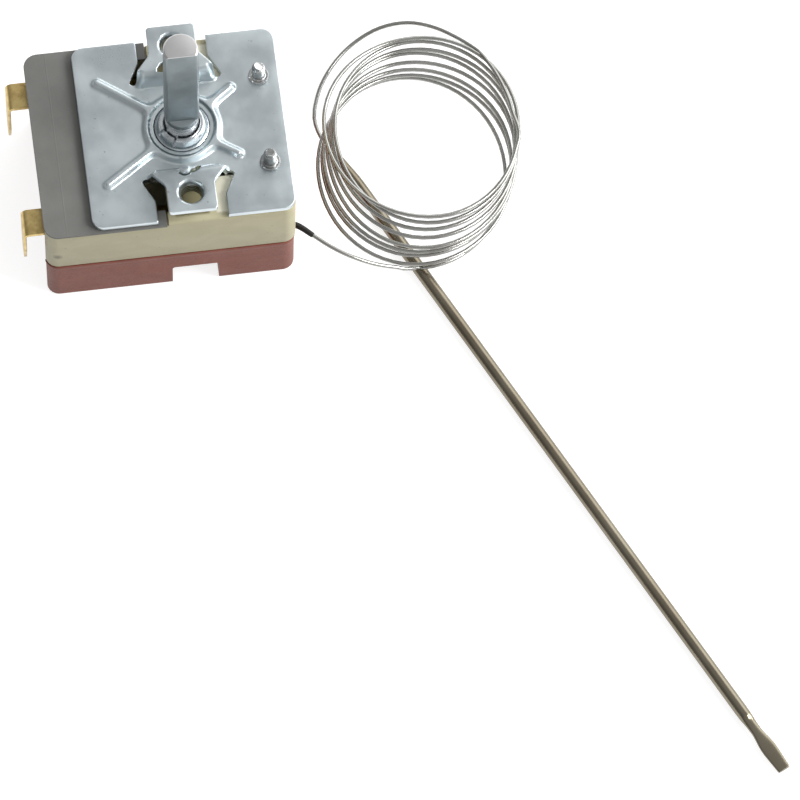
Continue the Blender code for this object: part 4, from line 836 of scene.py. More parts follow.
@dataclass
class Studio:
    """The pale floor, the soft light and the camera at the photograph's angle."""

    floor_half: float = 3.0
    floor_glow: float = 0.8
    camera_place: Place = (-0.08272, -0.78818, 1.62121)
    azimuth: float = -8.76
    elevation: float = 65.08
    roll: float = 1.62
    lens: float = 473.04
    sensor: float = 36.0
    near_far: Point = (0.1, 50.0)
    sky: float = 0.7
    # Each row has the two places between which the sky changes, and its two shares of the sky's strength.
    sky_slopes: tuple[tuple[float, float, float, float], ...] = (
        (0.25, 0.85, 0.78, 1.5), (-0.9, -0.3, -0.4, 0.0),
    )
    # Each lamp has a name, a place, a size and a power.
    lamps: tuple[tuple[str, Place, float, float], ...] = (
        ("key lamp", (0.85, -0.3, 0.85), 0.45, 9.0),
        ("right softbox", (0.9, 0.1, 0.42), 0.5, 4.0),
        ("rear lamp", (0.62, 0.8, 0.62), 0.9, 4.5),
    )
    lamp_target: Place = (0.0, 0.0, 0.01)

    def build(self) -> None:
        """Set up the whole studio."""
        self.lay_floor()
        self.light_sky()
        for lamp in self.lamps:
            self.hang_lamp(*lamp)
        self.aim_camera()
        bpy.context.scene.view_settings.view_transform = "Standard"

    def lay_floor(self) -> None:
        """Lay a white floor that shows white to the camera and in reflections, and keeps the shadow."""
        half = self.floor_half
        mesh = bpy.data.meshes.new("studio floor")
        mesh.from_pydata([(-half, -half, 0.0), (half, -half, 0.0), (half, half, 0.0), (-half, half, 0.0)], [],
                         [(0, 1, 2, 3)])
        tree = ShaderTree("studio floor")
        ray = tree.node("ShaderNodeLightPath").outputs
        seen = tree.math("MAXIMUM", ray["Is Camera Ray"], ray["Is Glossy Ray"])
        seen = seen.at_least(ray["Is Transmission Ray"])
        tree.shade(base_color=tone(176, 176, 176), roughness=0.9, emission_color=WHITE)
        tree.shade(emission_strength=seen * self.floor_glow)
        mesh.materials.append(tree.material)
        linked("studio floor", mesh)

    def light_sky(self) -> None:
        """Light the scene from a soft dome that is brighter on the right than on the left."""
        world = bpy.data.worlds.new("studio dome")
        world.use_nodes = True
        bpy.context.scene.world = world
        dome = Graph(world.node_tree)
        across = dome.axes(dome.node("ShaderNodeTexCoord").outputs["Generated"])[0]
        right, left = (dome.span(across, low, high, self.sky * start, self.sky * end)
                       for low, high, start, end in self.sky_slopes)
        ray = dome.node("ShaderNodeLightPath").outputs
        seen = dome.math("MAXIMUM", ray["Is Camera Ray"], ray["Is Transmission Ray"])
        background = world.node_tree.nodes["Background"]
        strength = dome.value("ShaderNodeMix", {0: seen, 2: right + left, 3: 1.0})
        dome.feed(background.inputs["Strength"], strength)
        dome.feed(background.inputs["Color"], WHITE)

    def hang_lamp(self, name: str, place: Place, size: float, power: float) -> None:
        """Hang a square soft lamp that looks at the object."""
        light = bpy.data.lights.new(name, "AREA")
        light.shape = "SQUARE"
        light.size = size
        light.energy = power
        lamp = linked(name, light)
        lamp.location = place
        lamp.rotation_euler = (Vector(self.lamp_target) - Vector(place)).to_track_quat("-Z", "Y").to_euler()

    def aim_camera(self) -> None:
        """Place the camera where the photograph was taken from."""
        turn, climb, roll = (math.radians(a) for a in (self.azimuth, self.elevation, self.roll))
        back = Vector((math.sin(turn) * math.cos(climb), -math.cos(turn) * math.cos(climb), math.sin(climb)))
        right = Vector((math.cos(turn), math.sin(turn), 0.0))
        up = back.cross(right)
        level_right = right * math.cos(roll) + up * math.sin(roll)
        level_up = up * math.cos(roll) - right * math.sin(roll)
        camera = linked("camera", bpy.data.cameras.new("camera"))
        camera.data.lens = self.lens
        camera.data.sensor_width = self.sensor
        camera.data.clip_start, camera.data.clip_end = self.near_far
        turned = Matrix((level_right, level_up, back)).transposed().to_4x4()
        camera.matrix_world = Matrix.Translation(self.camera_place) @ turned
        bpy.context.scene.camera = camera


@dataclass
class Capillary:
    """The thin steel tube: its lead, its loose coil and its tail, as one cord, and the bulb at its end."""

    diameter: float = 0.7
    turns: float = 8.2
    start_angle: float = -97.0
    points_per_turn: int = 60
    spacing: float = 1.2
    radius_x: float = 16.1
    radius_y: float = 17.2
    centre: Place = (39.0, -3.2, 3.3)
    drift: Place = (0.47, 0.83, 0.9)
    tilt: float = 0.106
    skew: float = 0.049
    bulb_start: Point = (30.0, -3.2)
    bulb_heading: Point = (0.44, -0.898)
    bulb_radius: float = 1.15
    bulb_length: float = 119.5
    bulb_height: float = 1.18
    bulb_sides: int = 40
    bulb_stretches: int = 40
    neck_length: float = 8.6
    # Each row has a share of the neck's length before the bulb's start, and a share of the bulb's radius.
    neck: tuple[Point, ...] = (
        (1.0, 0.54), (0.9, 0.57), (0.7, 0.62), (0.5, 0.74), (0.3, 0.88), (0.15, 0.96), (0.05, 0.99),
        (0.0, 1.0),
    )
    # Each row has a place past the bulb's end, and the shares of its radius across and upwards.
    crimp: tuple[Place, ...] = (
        (-1.6, 0.98, 1.0), (-1.2, 0.96, 1.0), (-0.9, 0.94, 0.94), (-0.5, 0.9, 0.74), (0.0, 0.87, 0.62),
        (0.8, 0.83, 0.56), (1.9, 0.81, 0.5), (2.6, 0.85, 0.47), (3.4, 0.94, 0.44), (4.3, 1.07, 0.41),
        (5.2, 1.16, 0.38), (6.2, 1.17, 0.36), (7.3, 1.12, 0.34), (8.6, 1.05, 0.33), (9.6, 1.0, 0.33),
        (10.1, 0.97, 0.31), (10.25, 0.93, 0.27),
    )
    lead: tuple[Place, ...] = (
        (20.4, -15.5, 9.5), (23.2, -17.8, 9.0), (26.4, -19.5, 7.9), (30.5, -20.7, 6.2), (34.4, -21.0, 4.5),
    )
    tail: tuple[Place, ...] = (
        (57.44, 4.63, 8.0), (56.76, 8.63, 7.9), (55.55, 12.51, 7.6), (54.07, 15.7, 7.2), (53.23, 17.17, 6.8),
        (50.5, 20.4, 5.6), (46.6, 23.8, 4.3), (42.2, 25.85, 3.2), (37.44, 25.9, 2.3), (32.95, 24.1, 1.6),
        (29.15, 21.1, 1.1), (26.05, 16.9, 0.85), (24.3, 12.29, 0.85), (24.12, 9.36, 0.9), (24.72, 6.86, 1.05),
        (25.36, 5.84, 1.16), (26.1, 4.6, 1.18),
    )
    # How far each turn stands out from the coil's ellipse at its front, right, rear and left.
    slack: tuple[tuple[float, float, float, float], ...] = (
        (0.7, 0.2, 0.79, 0.11), (1.25, 0.9, -0.07, -0.3), (0.9, 0.5, -0.31, -0.1),
        (1.54, 0.9, -0.24, -0.4), (2.04, 0.3, 0.24, -0.5), (1.44, 0.3, -0.39, -0.5),
        (1.2, -0.3, -0.2, -0.6), (1.24, -0.14, -0.79, 1.7), (1.38, -0.46, -0.4, -0.4),
    )

    def build(self, shop: FinishShop) -> None:
        bulb = self.make_bulb(shop)
        route = self.route()
        cord = self.make_cord(route)
        fit_piece(cord, "base", Slot.CAPILLARY, ("capillary_lead", "capillary_coil", "capillary_tail"), shop)
        length = sum((b - a).length for a, b in zip(route, route[1:])) * MM
        LOG.info("capillary: %.3f m on %d points", length, len(route))

    def on_coil(self, turn: float) -> Vector:
        """Return the coil's point after a number of turns from its start."""
        angle = math.radians(self.start_angle + 360.0 * turn)
        quarters = max((self.start_angle + 90.0) / 90.0 + 4.0 * turn, 0.0)
        side = int(quarters)
        sides = [slack for row in self.slack for slack in row]
        share = 0.5 - 0.5 * math.cos(math.pi * (quarters - side))
        slack = sides[side] + (sides[side + 1] - sides[side]) * share
        x = self.centre[0] + self.drift[0] * turn + (self.radius_x + slack) * math.cos(angle)
        y = self.centre[1] + self.drift[1] * turn + (self.radius_y + slack) * math.sin(angle)
        along_x, along_y = self.bulb_heading
        aside = (y - self.bulb_start[1]) * along_x - (x - self.bulb_start[0]) * along_y
        return Vector((x, y + self.skew * aside, self.centre[2] + self.drift[2] * turn - self.tilt * aside))

    def route(self) -> list[Vector]:
        """Return the whole capillary's points, in millimetres, from the sleeve to the bulb."""
        count = round(self.turns * self.points_per_turn)
        coil = [self.on_coil(self.turns * i / count) for i in range(count + 1)]
        lead = smooth_path([*self.lead, coil[0], coil[4]], self.spacing)[:-4]
        tail = smooth_path([coil[-9], coil[-1], *self.tail], self.spacing)
        joint = next(i for i, point in enumerate(tail) if (point - coil[-1]).length < 0.01)
        start, heading = self.bulb_axis()
        hidden = [start + heading * place for place in range(-6, int(self.bulb_length), 6)]
        return lead + coil[1:] + tail[joint + 1:] + hidden

    def bulb_axis(self) -> tuple[Vector, Vector]:
        """Return where the bulb's full section starts, and the direction that it lies in."""
        return Vector((*self.bulb_start, self.bulb_height)), Vector((*self.bulb_heading, 0.0)).normalized()

    def make_cord(self, route: list[Vector]) -> Piece:
        """Make the capillary as one open curve with a round bevel."""
        curve = bpy.data.curves.new("capillary", "CURVE")
        curve.dimensions = "3D"
        curve.bevel_depth = self.diameter / 2 * MM
        curve.bevel_resolution = 3
        curve.use_fill_caps = True
        spline = curve.splines.new("POLY")
        spline.points.add(len(route) - 1)
        for knot, point in zip(spline.points, route):
            knot.co = (*(point * MM), 1.0)
        spline.use_smooth = True
        return linked("capillary", curve)

    def make_bulb(self, shop: FinishShop) -> Piece:
        """Loft the sensor bulb with its drawn neck and its crimped end."""
        end, count = self.bulb_length, self.bulb_stretches
        stations = [(-self.neck_length - 0.3, 0.4, 0.4)]
        stations += [(-self.neck_length * share, wide, wide) for share, wide in self.neck]
        stations += [(end * i / count, 1.0, 1.0) for i in range(1, count)]
        stations += [(end + past, wide, tall) for past, wide, tall in self.crimp]
        start, heading = self.bulb_axis()
        across = Vector((-heading.y, heading.x, 0.0))
        rings = []
        for place, wide, tall in stations:
            ring = []
            flat = 1.0 - min(max((place - end + 1.0) / 4.0, 0.0), 1.0) * 0.5
            for i in range(self.bulb_sides):
                angle = 2 * math.pi * i / self.bulb_sides
                lift = math.copysign(abs(math.sin(angle)) ** flat, math.sin(angle))
                point = start + heading * place + across * (self.bulb_radius * wide * math.cos(angle))
                point.z += self.bulb_radius * tall * lift
                ring.append(tuple(point))
            rings.append(ring)
        bulb = Draft.lofted(rings).make("sensor_bulb_tube", 45.0)
        finish = drawn_steel(
            "bulb steel", tone(130, 123, 107), tone(138, 131, 115), tone(114, 103, 86), 0.4, 0.24)
        return fit_piece(bulb, "base", Slot.CAPILLARY, ("sensor_bulb",), shop, finish.material())


@dataclass
class MountingPlate:
    """The pressed plate, with its boss and ribs, two raised tabs on bent legs and their drawn holes."""

    half_width: float = HALF_DEPTH
    right: float = 17.5
    corner: float = 2.0
    thickness: float = 1.0
    underside: float = 23.4
    emboss_height: float = 0.9
    emboss_slope: float = 0.8
    emboss_blend: float = 2.2
    land_radius: float = 6.1
    rib_half_width: float = 0.25
    rib_root: float = 4.0
    ring_radius: float = 5.5
    ring_step: float = 0.35
    ring_slope: float = 0.3
    tab_rise: float = 4.0
    tab_half_width: float = 4.15
    tab_end: float = 17.6
    tab_neck: float = 12.4
    tab_corner: float = 0.6
    leg_foot: float = 8.0
    leg_head: float = 11.0
    leg_fillet: float = 0.6
    leg_side_start: float = 7.0
    leg_side_end: float = 5.4
    leg_release: float = 8.9
    leg_freed: float = 9.8
    nib_place: float = 9.55
    nib_side: float = -0.6
    nib_radius: float = 1.15
    nib_height: float = 0.6
    nib_slope: float = 0.45
    slot_root_x: float = 7.8
    slot_root_inner: float = 6.5
    slot_root_y: float = 9.6
    slot_knee: float = 13.1
    slot_edge: float = 6.0
    hole_place: float = 14.0
    hole_radius: float = 1.73
    drawn_radius: float = 2.46
    drawn_depth: float = 1.3
    steepest_wall: float = 2.2
    bush_radius: float = 4.78
    rivet_hole: float = 1.55
    edge_round: float = 0.14
    edge_insets: Place = (0.03, 0.08, 0.17)
    step: float = 0.3
    grid: float = 0.27
    grid_clearance: float = 0.26
    edge_step: float = 0.06
    coarse: int = 5
    sharp: float = 38.0
    rib_tips: tuple[Point, ...] = ((-13.4, 10.0), (-13.6, -9.3), (9.0, 6.6), (9.0, -6.0))
    front_lobe: tuple[Point, ...] = (
        (1.1, 10.3), (1.7, 10.0), (2.15, 9.5), (2.2, 9.1), (1.9, 8.85), (1.55, 8.95), (1.35, 9.3),
        (0.95, 9.65),
    )
    rear_window: tuple[Point, ...] = ((1.7, 10.9), (2.4, 10.6), (3.0, 9.8), (3.1, 9.35), (2.4, 9.22))

    def build(self, shop: FinishShop) -> None:
        """Cut the blank, press it, turn its faces out and fit it."""
        plate = self.press(self.make_blank(), shop.material(Slot.ZINC))
        bm = bmesh.new()
        bm.from_mesh(plate.data)
        bmesh.ops.recalc_face_normals(bm, faces=bm.faces)
        bm.to_mesh(plate.data)
        bm.free()
        soften(plate.data, self.sharp)
        fit_piece(plate, "base", Slot.ZINC, ("mounting_plate",), shop)

    def outline(self) -> list[Point]:
        """Return the blank's outline, with the two slots beside each tab."""
        half, corner, neck = self.half_width, self.corner, self.tab_corner
        root_x = (self.slot_root_x + self.slot_root_inner) / 2
        root_radius = (self.slot_root_x - self.slot_root_inner) / 2
        side = [(self.slot_edge, -half), (self.slot_edge, -self.slot_knee)]
        side += arc((root_x, -self.slot_root_y), root_radius, 0.0, 180.0, 14)
        side += [(self.tab_half_width + 0.3, -self.tab_neck + 0.4),
                 (self.tab_half_width, -self.tab_neck - 0.3)]
        side += arc((self.tab_half_width - neck, -self.tab_end + neck), neck, 0.0, -90.0, 6)
        front = [(-x, y) for x, y in side] + side[::-1]
        front_half = arc((-half + corner, -half + corner), corner, 180.0, 270.0, 16) + front
        front_half += arc((self.right - corner, -half + corner), corner, 270.0, 360.0, 16)
        return front_half + [(x, -y) for x, y in reversed(front_half)]

    def outlines(self) -> list[list[Point]]:
        """Return every outline of the blank, cut into short steps, the outer one first."""
        nib = (self.nib_side, self.nib_place)
        front = arc(nib, self.nib_radius - 0.03, 10.0, 150.0, 16)
        front += arc(nib, self.nib_radius + 0.21, 150.0, 40.0, 14)
        rear = [*self.rear_window, *((-x, y) for x, y in reversed(self.rear_window))]
        shapes = [self.outline(), ring_points((0.0, 0.0), self.bush_radius, 96)]
        for side, window in ((-1.0, [*front, *self.front_lobe]), (1.0, rear)):
            shapes.append([(x, side * y) for x, y in window])
            shapes.append(ring_points((0.0, side * self.hole_place), self.hole_radius, 56))
        for side in (-1.0, 1.0):
            shapes.append(ring_points((RIVET_X, side * RIVET_Y), self.rivet_hole, 40))
        return [self.stepped(shape, self.step) for shape in shapes]

    @staticmethod
    def stepped(outline: list[Point], step: float) -> list[Point]:
        """Cut an outline's long sides into steps."""
        result = []
        for (x, y), (next_x, next_y) in zip(outline, outline[1:] + outline[:1]):
            pieces = max(1, math.ceil(math.dist((x, y), (next_x, next_y)) / step))
            for share in (i / pieces for i in range(pieces)):
                result.append((x + (next_x - x) * share, y + (next_y - y) * share))
        return result

    @staticmethod
    def within(x: float, y: float, outline: list[Point]) -> bool:
        """Tell whether a point lies inside an outline."""
        result = False
        ax, ay = outline[-1]
        for bx, by in outline:
            if (by > y) != (ay > y) and x < bx + (y - by) * (ax - bx) / (ay - by):
                result = not result
            ax, ay = bx, by
        return result

    def on_blank(self, x: float, y: float, outlines: list[list[Point]]) -> bool:
        """Tell whether a point lies on the blank and in none of its holes."""
        if not self.within(x, y, outlines[0]):
            return False
        return not any(self.within(x, y, hole) for hole in outlines[1:])

    def near_form(self, x: float, y: float) -> bool:
        """Tell whether the sheet is formed near a point, so that it needs short facets there."""
        if math.hypot(x, y) < self.land_radius + 1.6:
            return True
        if 0.0 < abs(y) - self.leg_foot + 0.4 < 3.8 and abs(x) < 7.2:
            return True
        if math.hypot(x, abs(y) - self.hole_place) < self.drawn_radius + 0.3:
            return True
        for tip_x, tip_y in self.rib_tips:
            reach = math.hypot(tip_x, tip_y)
            along = min(max((x * tip_x + y * tip_y) / reach, 0.0), reach)
            if math.hypot(x - tip_x / reach * along, y - tip_y / reach * along) < 1.4:
                return True
        return False

    def inner_points(self, outlines: list[list[Point]], edges: KDTree) -> list[Point]:
        """Return the points inside the blank, close together where the sheet is formed."""
        points = []
        for outline in outlines:
            for before, here, after in zip(outline[-1:] + outline[:-1], outline, outline[1:] + outline[:1]):
                along = Vector((after[0] - before[0], after[1] - before[1])).normalized()
                for inset in (sign * inset for inset in self.edge_insets for sign in (-1.0, 1.0)):
                    spot = (here[0] - along.y * inset, here[1] + along.x * inset)
                    if edges.find((*spot, 0.0))[2] > abs(inset) * 0.9:
                        points.append(spot)
        rows = int(self.half_width * 1.05 / self.grid / math.sqrt(0.75))
        columns = int(self.half_width / self.grid) + 1
        for row in range(-rows, rows + 1):
            for column in range(-columns, columns + 1):
                x, y = (column + (0.5 if row % 2 else 0.0)) * self.grid, row * self.grid * math.sqrt(0.75)
                kept = row % self.coarse == 0 and column % self.coarse == 0 or self.near_form(x, y)
                if kept and edges.find((x, y, 0.0))[2] > self.grid_clearance:
                    points.append((x, y))
        return points

    def make_blank(self) -> Piece:
        """Cut the flat blank, and note how far each point is from an edge and whether it is on a tab."""
        outlines = self.outlines()
        corners = [point for outline in outlines for point in self.stepped(outline, self.edge_step)]
        edges = KDTree(len(corners))
        for i, point in enumerate(corners):
            edges.insert((*point, 0.0), i)
        edges.balance()
        points = []
        sides = []
        for outline in outlines:
            first = len(points)
            points += outline
            sides += [(first + i, first + (i + 1) % len(outline)) for i in range(len(outline))]
        points += [spot for spot in self.inner_points(outlines, edges) if self.on_blank(*spot, outlines)]
        verts, _, faces, _, _, _ = delaunay_2d_cdt([Vector(point) for point in points], sides, [], 0, 1e-6)
        kept = []
        for face in faces:
            middle = sum((verts[i] for i in face), Vector((0.0, 0.0))) / len(face)
            if self.on_blank(middle.x, middle.y, outlines):
                kept.append(face)
        mesh = bpy.data.meshes.new("mounting_plate_pressing")
        mesh.from_pydata([(v.x * MM, v.y * MM, 0.0) for v in verts], [], kept)
        edge = mesh.attributes.new("edge", "FLOAT", "POINT")
        tab = mesh.attributes.new("tab", "FLOAT", "POINT")
        root = (self.slot_root_x + self.slot_root_inner) / 2
        knee = (self.slot_edge + self.tab_half_width) / 2
        for i, vert in enumerate(verts):
            edge.data[i].value = edges.find((vert.x, vert.y, 0.0))[2] * MM
            share = min(max((abs(vert.y) - self.slot_root_y) / (self.slot_knee - self.slot_root_y), 0.0), 1.0)
            on_tab = abs(vert.y) > self.leg_foot and abs(vert.x) < root + (knee - root) * share
            tab.data[i].value = float(on_tab)
        return linked("mounting_plate_pressing", mesh)

    def rib_lines(self, works: NodeWorks) -> Socket:
        """Return the ribs' centre lines as one geometry."""
        lines = []
        for x, y in self.rib_tips:
            root = self.rib_root / math.hypot(x, y) * MM
            ends = {"Count": 2, "Start Location": (x * root, y * root, 0.0), "Offset": (x * MM, y * MM, 0.0)}
            lines.append(works.node("GeometryNodeMeshLine", ends, mode="END_POINTS").outputs[0])
        return works.join(lines)

    def press(self, blank: Piece, material: Material) -> Piece:
        """Press the blank: the die's form lifts each point, and the sheet keeps its true thickness.

        Args:
            blank: The flat blank with its attributes.
            material: The plate's material.

        Returns:
            The pressed plate.
        """
        works = NodeWorks("plate press")
        emboss, slope, blend, land, rib_half = works.sizes(
            self, "emboss_height", "emboss_slope", "emboss_blend", "land_radius", "rib_half_width")
        rise, foot, head, fillet, side_start, side_end, release, freed = works.sizes(
            self, "tab_rise", "leg_foot", "leg_head", "leg_fillet", "leg_side_start", "leg_side_end",
            "leg_release", "leg_freed")
        nib_place, nib_side, nib_radius, nib_height, nib_slope = works.sizes(
            self, "nib_place", "nib_side", "nib_radius", "nib_height", "nib_slope")
        hole_place, hole_radius, drawn_radius, drawn_depth = works.sizes(
            self, "hole_place", "hole_radius", "drawn_radius", "drawn_depth")
        thickness, underside, edge_round, ring_radius, ring_step, ring_slope = works.sizes(
            self, "thickness", "underside", "edge_round", "ring_radius", "ring_step", "ring_slope")
        x, y, z = works.axes(works.node("GeometryNodeInputPosition").outputs[0])
        along, radius, tab = abs(y), works.reach(x, y), works.attribute("tab")
        to_rib = works.value("GeometryNodeProximity", {
            0: self.rib_lines(works), "Sample Position": works.vector(x, y, 0.0),
        }, "Distance", target_element="EDGES")
        away = works.math("SMOOTH_MIN", radius - land, to_rib - rib_half, blend)
        form = works.span(away, slope, 0.0, 0.0, emboss)
        nib = works.reach(x - nib_side, along - nib_place)
        form = form + works.span(nib, nib_radius, nib_radius - nib_slope, 0.0, nib_height)
        kept = works.span(abs(x), side_start, side_end).at_least(works.span(along, release, freed))
        bend = 1.0 - (1.0 - works.span(along, foot, head, kind="LINEAR")) ** 4.0
        leg = bend * works.span(along, foot, foot + fillet, 0.0, rise) * (kept * tab)
        hole = works.reach(x, along - hole_place)
        drawn = works.span(hole, drawn_radius, hole_radius, kind="LINEAR") ** 2.0 * drawn_depth * tab
        lifted = works.lift(works.source.outputs[0], underside + thickness + (form + leg - drawn))
        normal = works.axes(works.node("GeometryNodeInputNormal").outputs[0])[2]
        wall = thickness * (1.0 / abs(normal).at_least(0.05)).at_most(self.steepest_wall)
        noted = works.node("GeometryNodeStoreNamedAttribute", {
            "Geometry": lifted, "Name": "under", "Value": (z - wall).at_least(underside),
        }, data_type="FLOAT", domain="POINT")
        turn = 1.0 - (works.attribute("edge") / edge_round).at_most(1.0)
        drop = 1.0 - (1.0 - turn * turn).root()
        ring = works.span(radius, ring_radius + ring_slope, ring_radius, 0.0, ring_step)
        rounded = works.lift(noted.outputs[0], (drop * edge_round + ring) * -1.0)
        extruded = works.node("GeometryNodeExtrudeMesh", {
            "Mesh": rounded, "Offset Scale": 0.0, "Individual": False,
        }, mode="FACES")
        sunk = works.node("GeometryNodeSetPosition", {
            "Geometry": extruded.outputs["Mesh"], "Selection": extruded.outputs["Top"],
            "Position": works.vector(x, y, works.attribute("under")),
        })
        joined = works.join([sunk.outputs[0], rounded])
        merged = works.node("GeometryNodeMergeByDistance", {"Geometry": joined, "Distance": 1e-6})
        return works.run(merged.outputs[0], blank, material, self.sharp)


@dataclass
class ThreadedBush:
    """The turned bush in the plate, with its conical top and its staked sector between two slits."""

    FINISH = turned_steel("bush steel", tone(218, 224, 228), tone(184, 191, 195))

    bore: float = 3.1
    radius: float = 4.65
    tail_bottom: float = 21.5
    flange_bottom: float = 22.3
    flange_top: float = 23.1
    flange_radius: float = 5.8
    shoulder: float = 24.95
    cone_radius: float = 3.7
    cone_height: float = 1.7
    slit_angles: Point = (200.0, 245.0)
    slit_width: float = 0.45
    slit_depth: float = 1.2
    stake_depth: float = 0.4
    rib_half: float = 1.0
    rib_end: float = 6.9

    def build(self, shop: FinishShop) -> None:
        """Turn the bush, cut its slits and its sector, join its stop rib and fit it."""
        top = self.shoulder + self.cone_height
        profile = [
            (self.bore, self.tail_bottom), (self.radius, self.tail_bottom), (self.radius, self.flange_bottom),
            (self.flange_radius, self.flange_bottom), (self.flange_radius, self.flange_top),
            (self.radius + 0.02, self.flange_top), (self.radius + 0.02, self.shoulder - 0.12),
            (self.radius - 0.03, self.shoulder), (self.radius - 0.18, self.shoulder + 0.1),
            (self.cone_radius + 0.16, top - 0.16), (self.cone_radius + 0.04, top - 0.05),
            (self.cone_radius - 0.08, top), (self.bore + 0.16, top), (self.bore + 0.04, top - 0.06),
            (self.bore, top - 0.2),
        ]
        bush = Draft.turned(profile, 128).make("threaded_bush_turned")
        cuts = []
        for angle in self.slit_angles:
            wedge = Draft.block((self.bore - 0.6, -self.slit_width / 2, top - self.slit_depth),
                                (self.radius + 1.0, self.slit_width / 2, top + 1.0))
            bmesh.ops.rotate(wedge.bm, cent=(0, 0, 0), matrix=Matrix.Rotation(math.radians(angle), 3, "Z"),
                             verts=wedge.bm.verts)
            cuts.append(wedge)
        sector = [(0.0, 0.0)] + arc((0.0, 0.0), self.radius + 1.0, *self.slit_angles, 6)
        cuts.append(Draft.layered([(sector, top - self.stake_depth), (sector, top + 1.0)]))
        rib = Draft.block((-self.rib_half, self.radius - 0.1, self.flange_bottom - 1.5),
                          (self.rib_half, self.rib_end, self.flange_bottom + 0.4))
        bush = carved(bush, cuts, [rib])
        fit_piece(bush, "base", Slot.TURNED, ("threaded_bush",), shop, self.FINISH.material())


@dataclass
class Spindle:
    """The turned spindle, with its long flat, its chamfered end and its threaded foot."""

    FINISH = ShaftFinish.smooth("plated spindle", tone(146, 153, 156), tone(160, 168, 171), 1.0, 0.34, 160.0)
    # Painted light: the thread's steel made much paler than the shaft's plating, standing in for light on it.
    LIT_THREAD = Finish.smooth("painted bright thread", tone(214, 215, 216), tone(236, 237, 238), 1.0, 0.22)

    radius: float = 3.0
    top: float = 54.0
    flat_offset: float = 1.5
    flat_end: float = 30.2
    tip_bottom: float = 19.2
    tip_top: float = 21.5
    tip_radius: float = 2.0
    thread_root: float = 2.68
    crest_radius: float = 2.7
    crest_depth: float = 0.36
    shelf_radius: float = 2.74
    thread_bottom: float = 25.4
    thread_start: float = 25.7
    thread_height: float = 3.7
    thread_top: float = 29.6
    pitch: float = 0.75
    chamfer: float = 0.3
    steps: int = 120

    def build(self, shop: FinishShop) -> None:
        """Make the shaft and its thread and fit them."""
        shaft = bevelled(Draft.lofted(self.layers()).make("spindle_shaft", 30.0), 0.09, 2, 35.0)
        bright = self.LIT_THREAD.material()
        for piece, finish in ((shaft, self.FINISH.material()), (self.cut_thread(bright), bright)):
            fit_piece(piece, "spindle", Slot.ZINC, ("spindle",), shop, finish)

    def layers(self) -> list[list[Place]]:
        """Return the shaft's sections from its tip to its end, round and then with the flat."""
        rows = [
            (self.tip_radius, self.tip_bottom, False), (self.tip_radius, self.tip_top, False),
            (self.radius, self.tip_top, False), (self.radius, self.thread_bottom, False),
            (self.thread_root, self.thread_start, False), (self.thread_root, self.thread_top - 0.2, False),
            (self.shelf_radius, self.thread_top, False), (self.shelf_radius, self.flat_end, False),
            (self.radius, self.flat_end, True), (self.radius, self.top - self.chamfer, True),
            (self.radius - self.chamfer, self.top, True),
        ]
        rings = []
        for radius, level, flat in rows:
            lowest = -self.flat_offset if flat else -radius
            rings.append([(x, max(y, lowest), level) for x, y in ring_points((0.0, 0.0), radius, self.steps)])
        return rings

    def cut_thread(self, material: Material) -> Piece:
        """Wind the thread's crest as a helix with a three-sided section."""
        thread = linked("spindle_thread", bpy.data.meshes.new("spindle_thread"))
        works = NodeWorks("spindle thread")
        crest, depth, start, height = works.sizes(
            self, "crest_radius", "crest_depth", "thread_start", "thread_height")
        turns = works.size("Turns", self.thread_height / self.pitch)
        helix = works.node("GeometryNodeCurveSpiral", {
            "Resolution": 64, "Rotations": turns,
            "Start Radius": crest, "End Radius": crest, "Height": height,
        })
        upright = works.node("GeometryNodeSetCurveNormal", {"Curve": helix.outputs[0]}, mode="Z_UP")
        section = works.node("GeometryNodeCurvePrimitiveCircle", {"Resolution": 3, "Radius": depth})
        swept = works.node("GeometryNodeCurveToMesh", {
            "Curve": upright.outputs[0], "Profile Curve": section.outputs[0], "Fill Caps": True,
        })
        raised = works.node("GeometryNodeTransform", {
            "Geometry": swept.outputs[0], "Translation": works.vector(0.0, 0.0, start),
        })
        return works.run(raised.outputs[0], thread, material, 50.0)


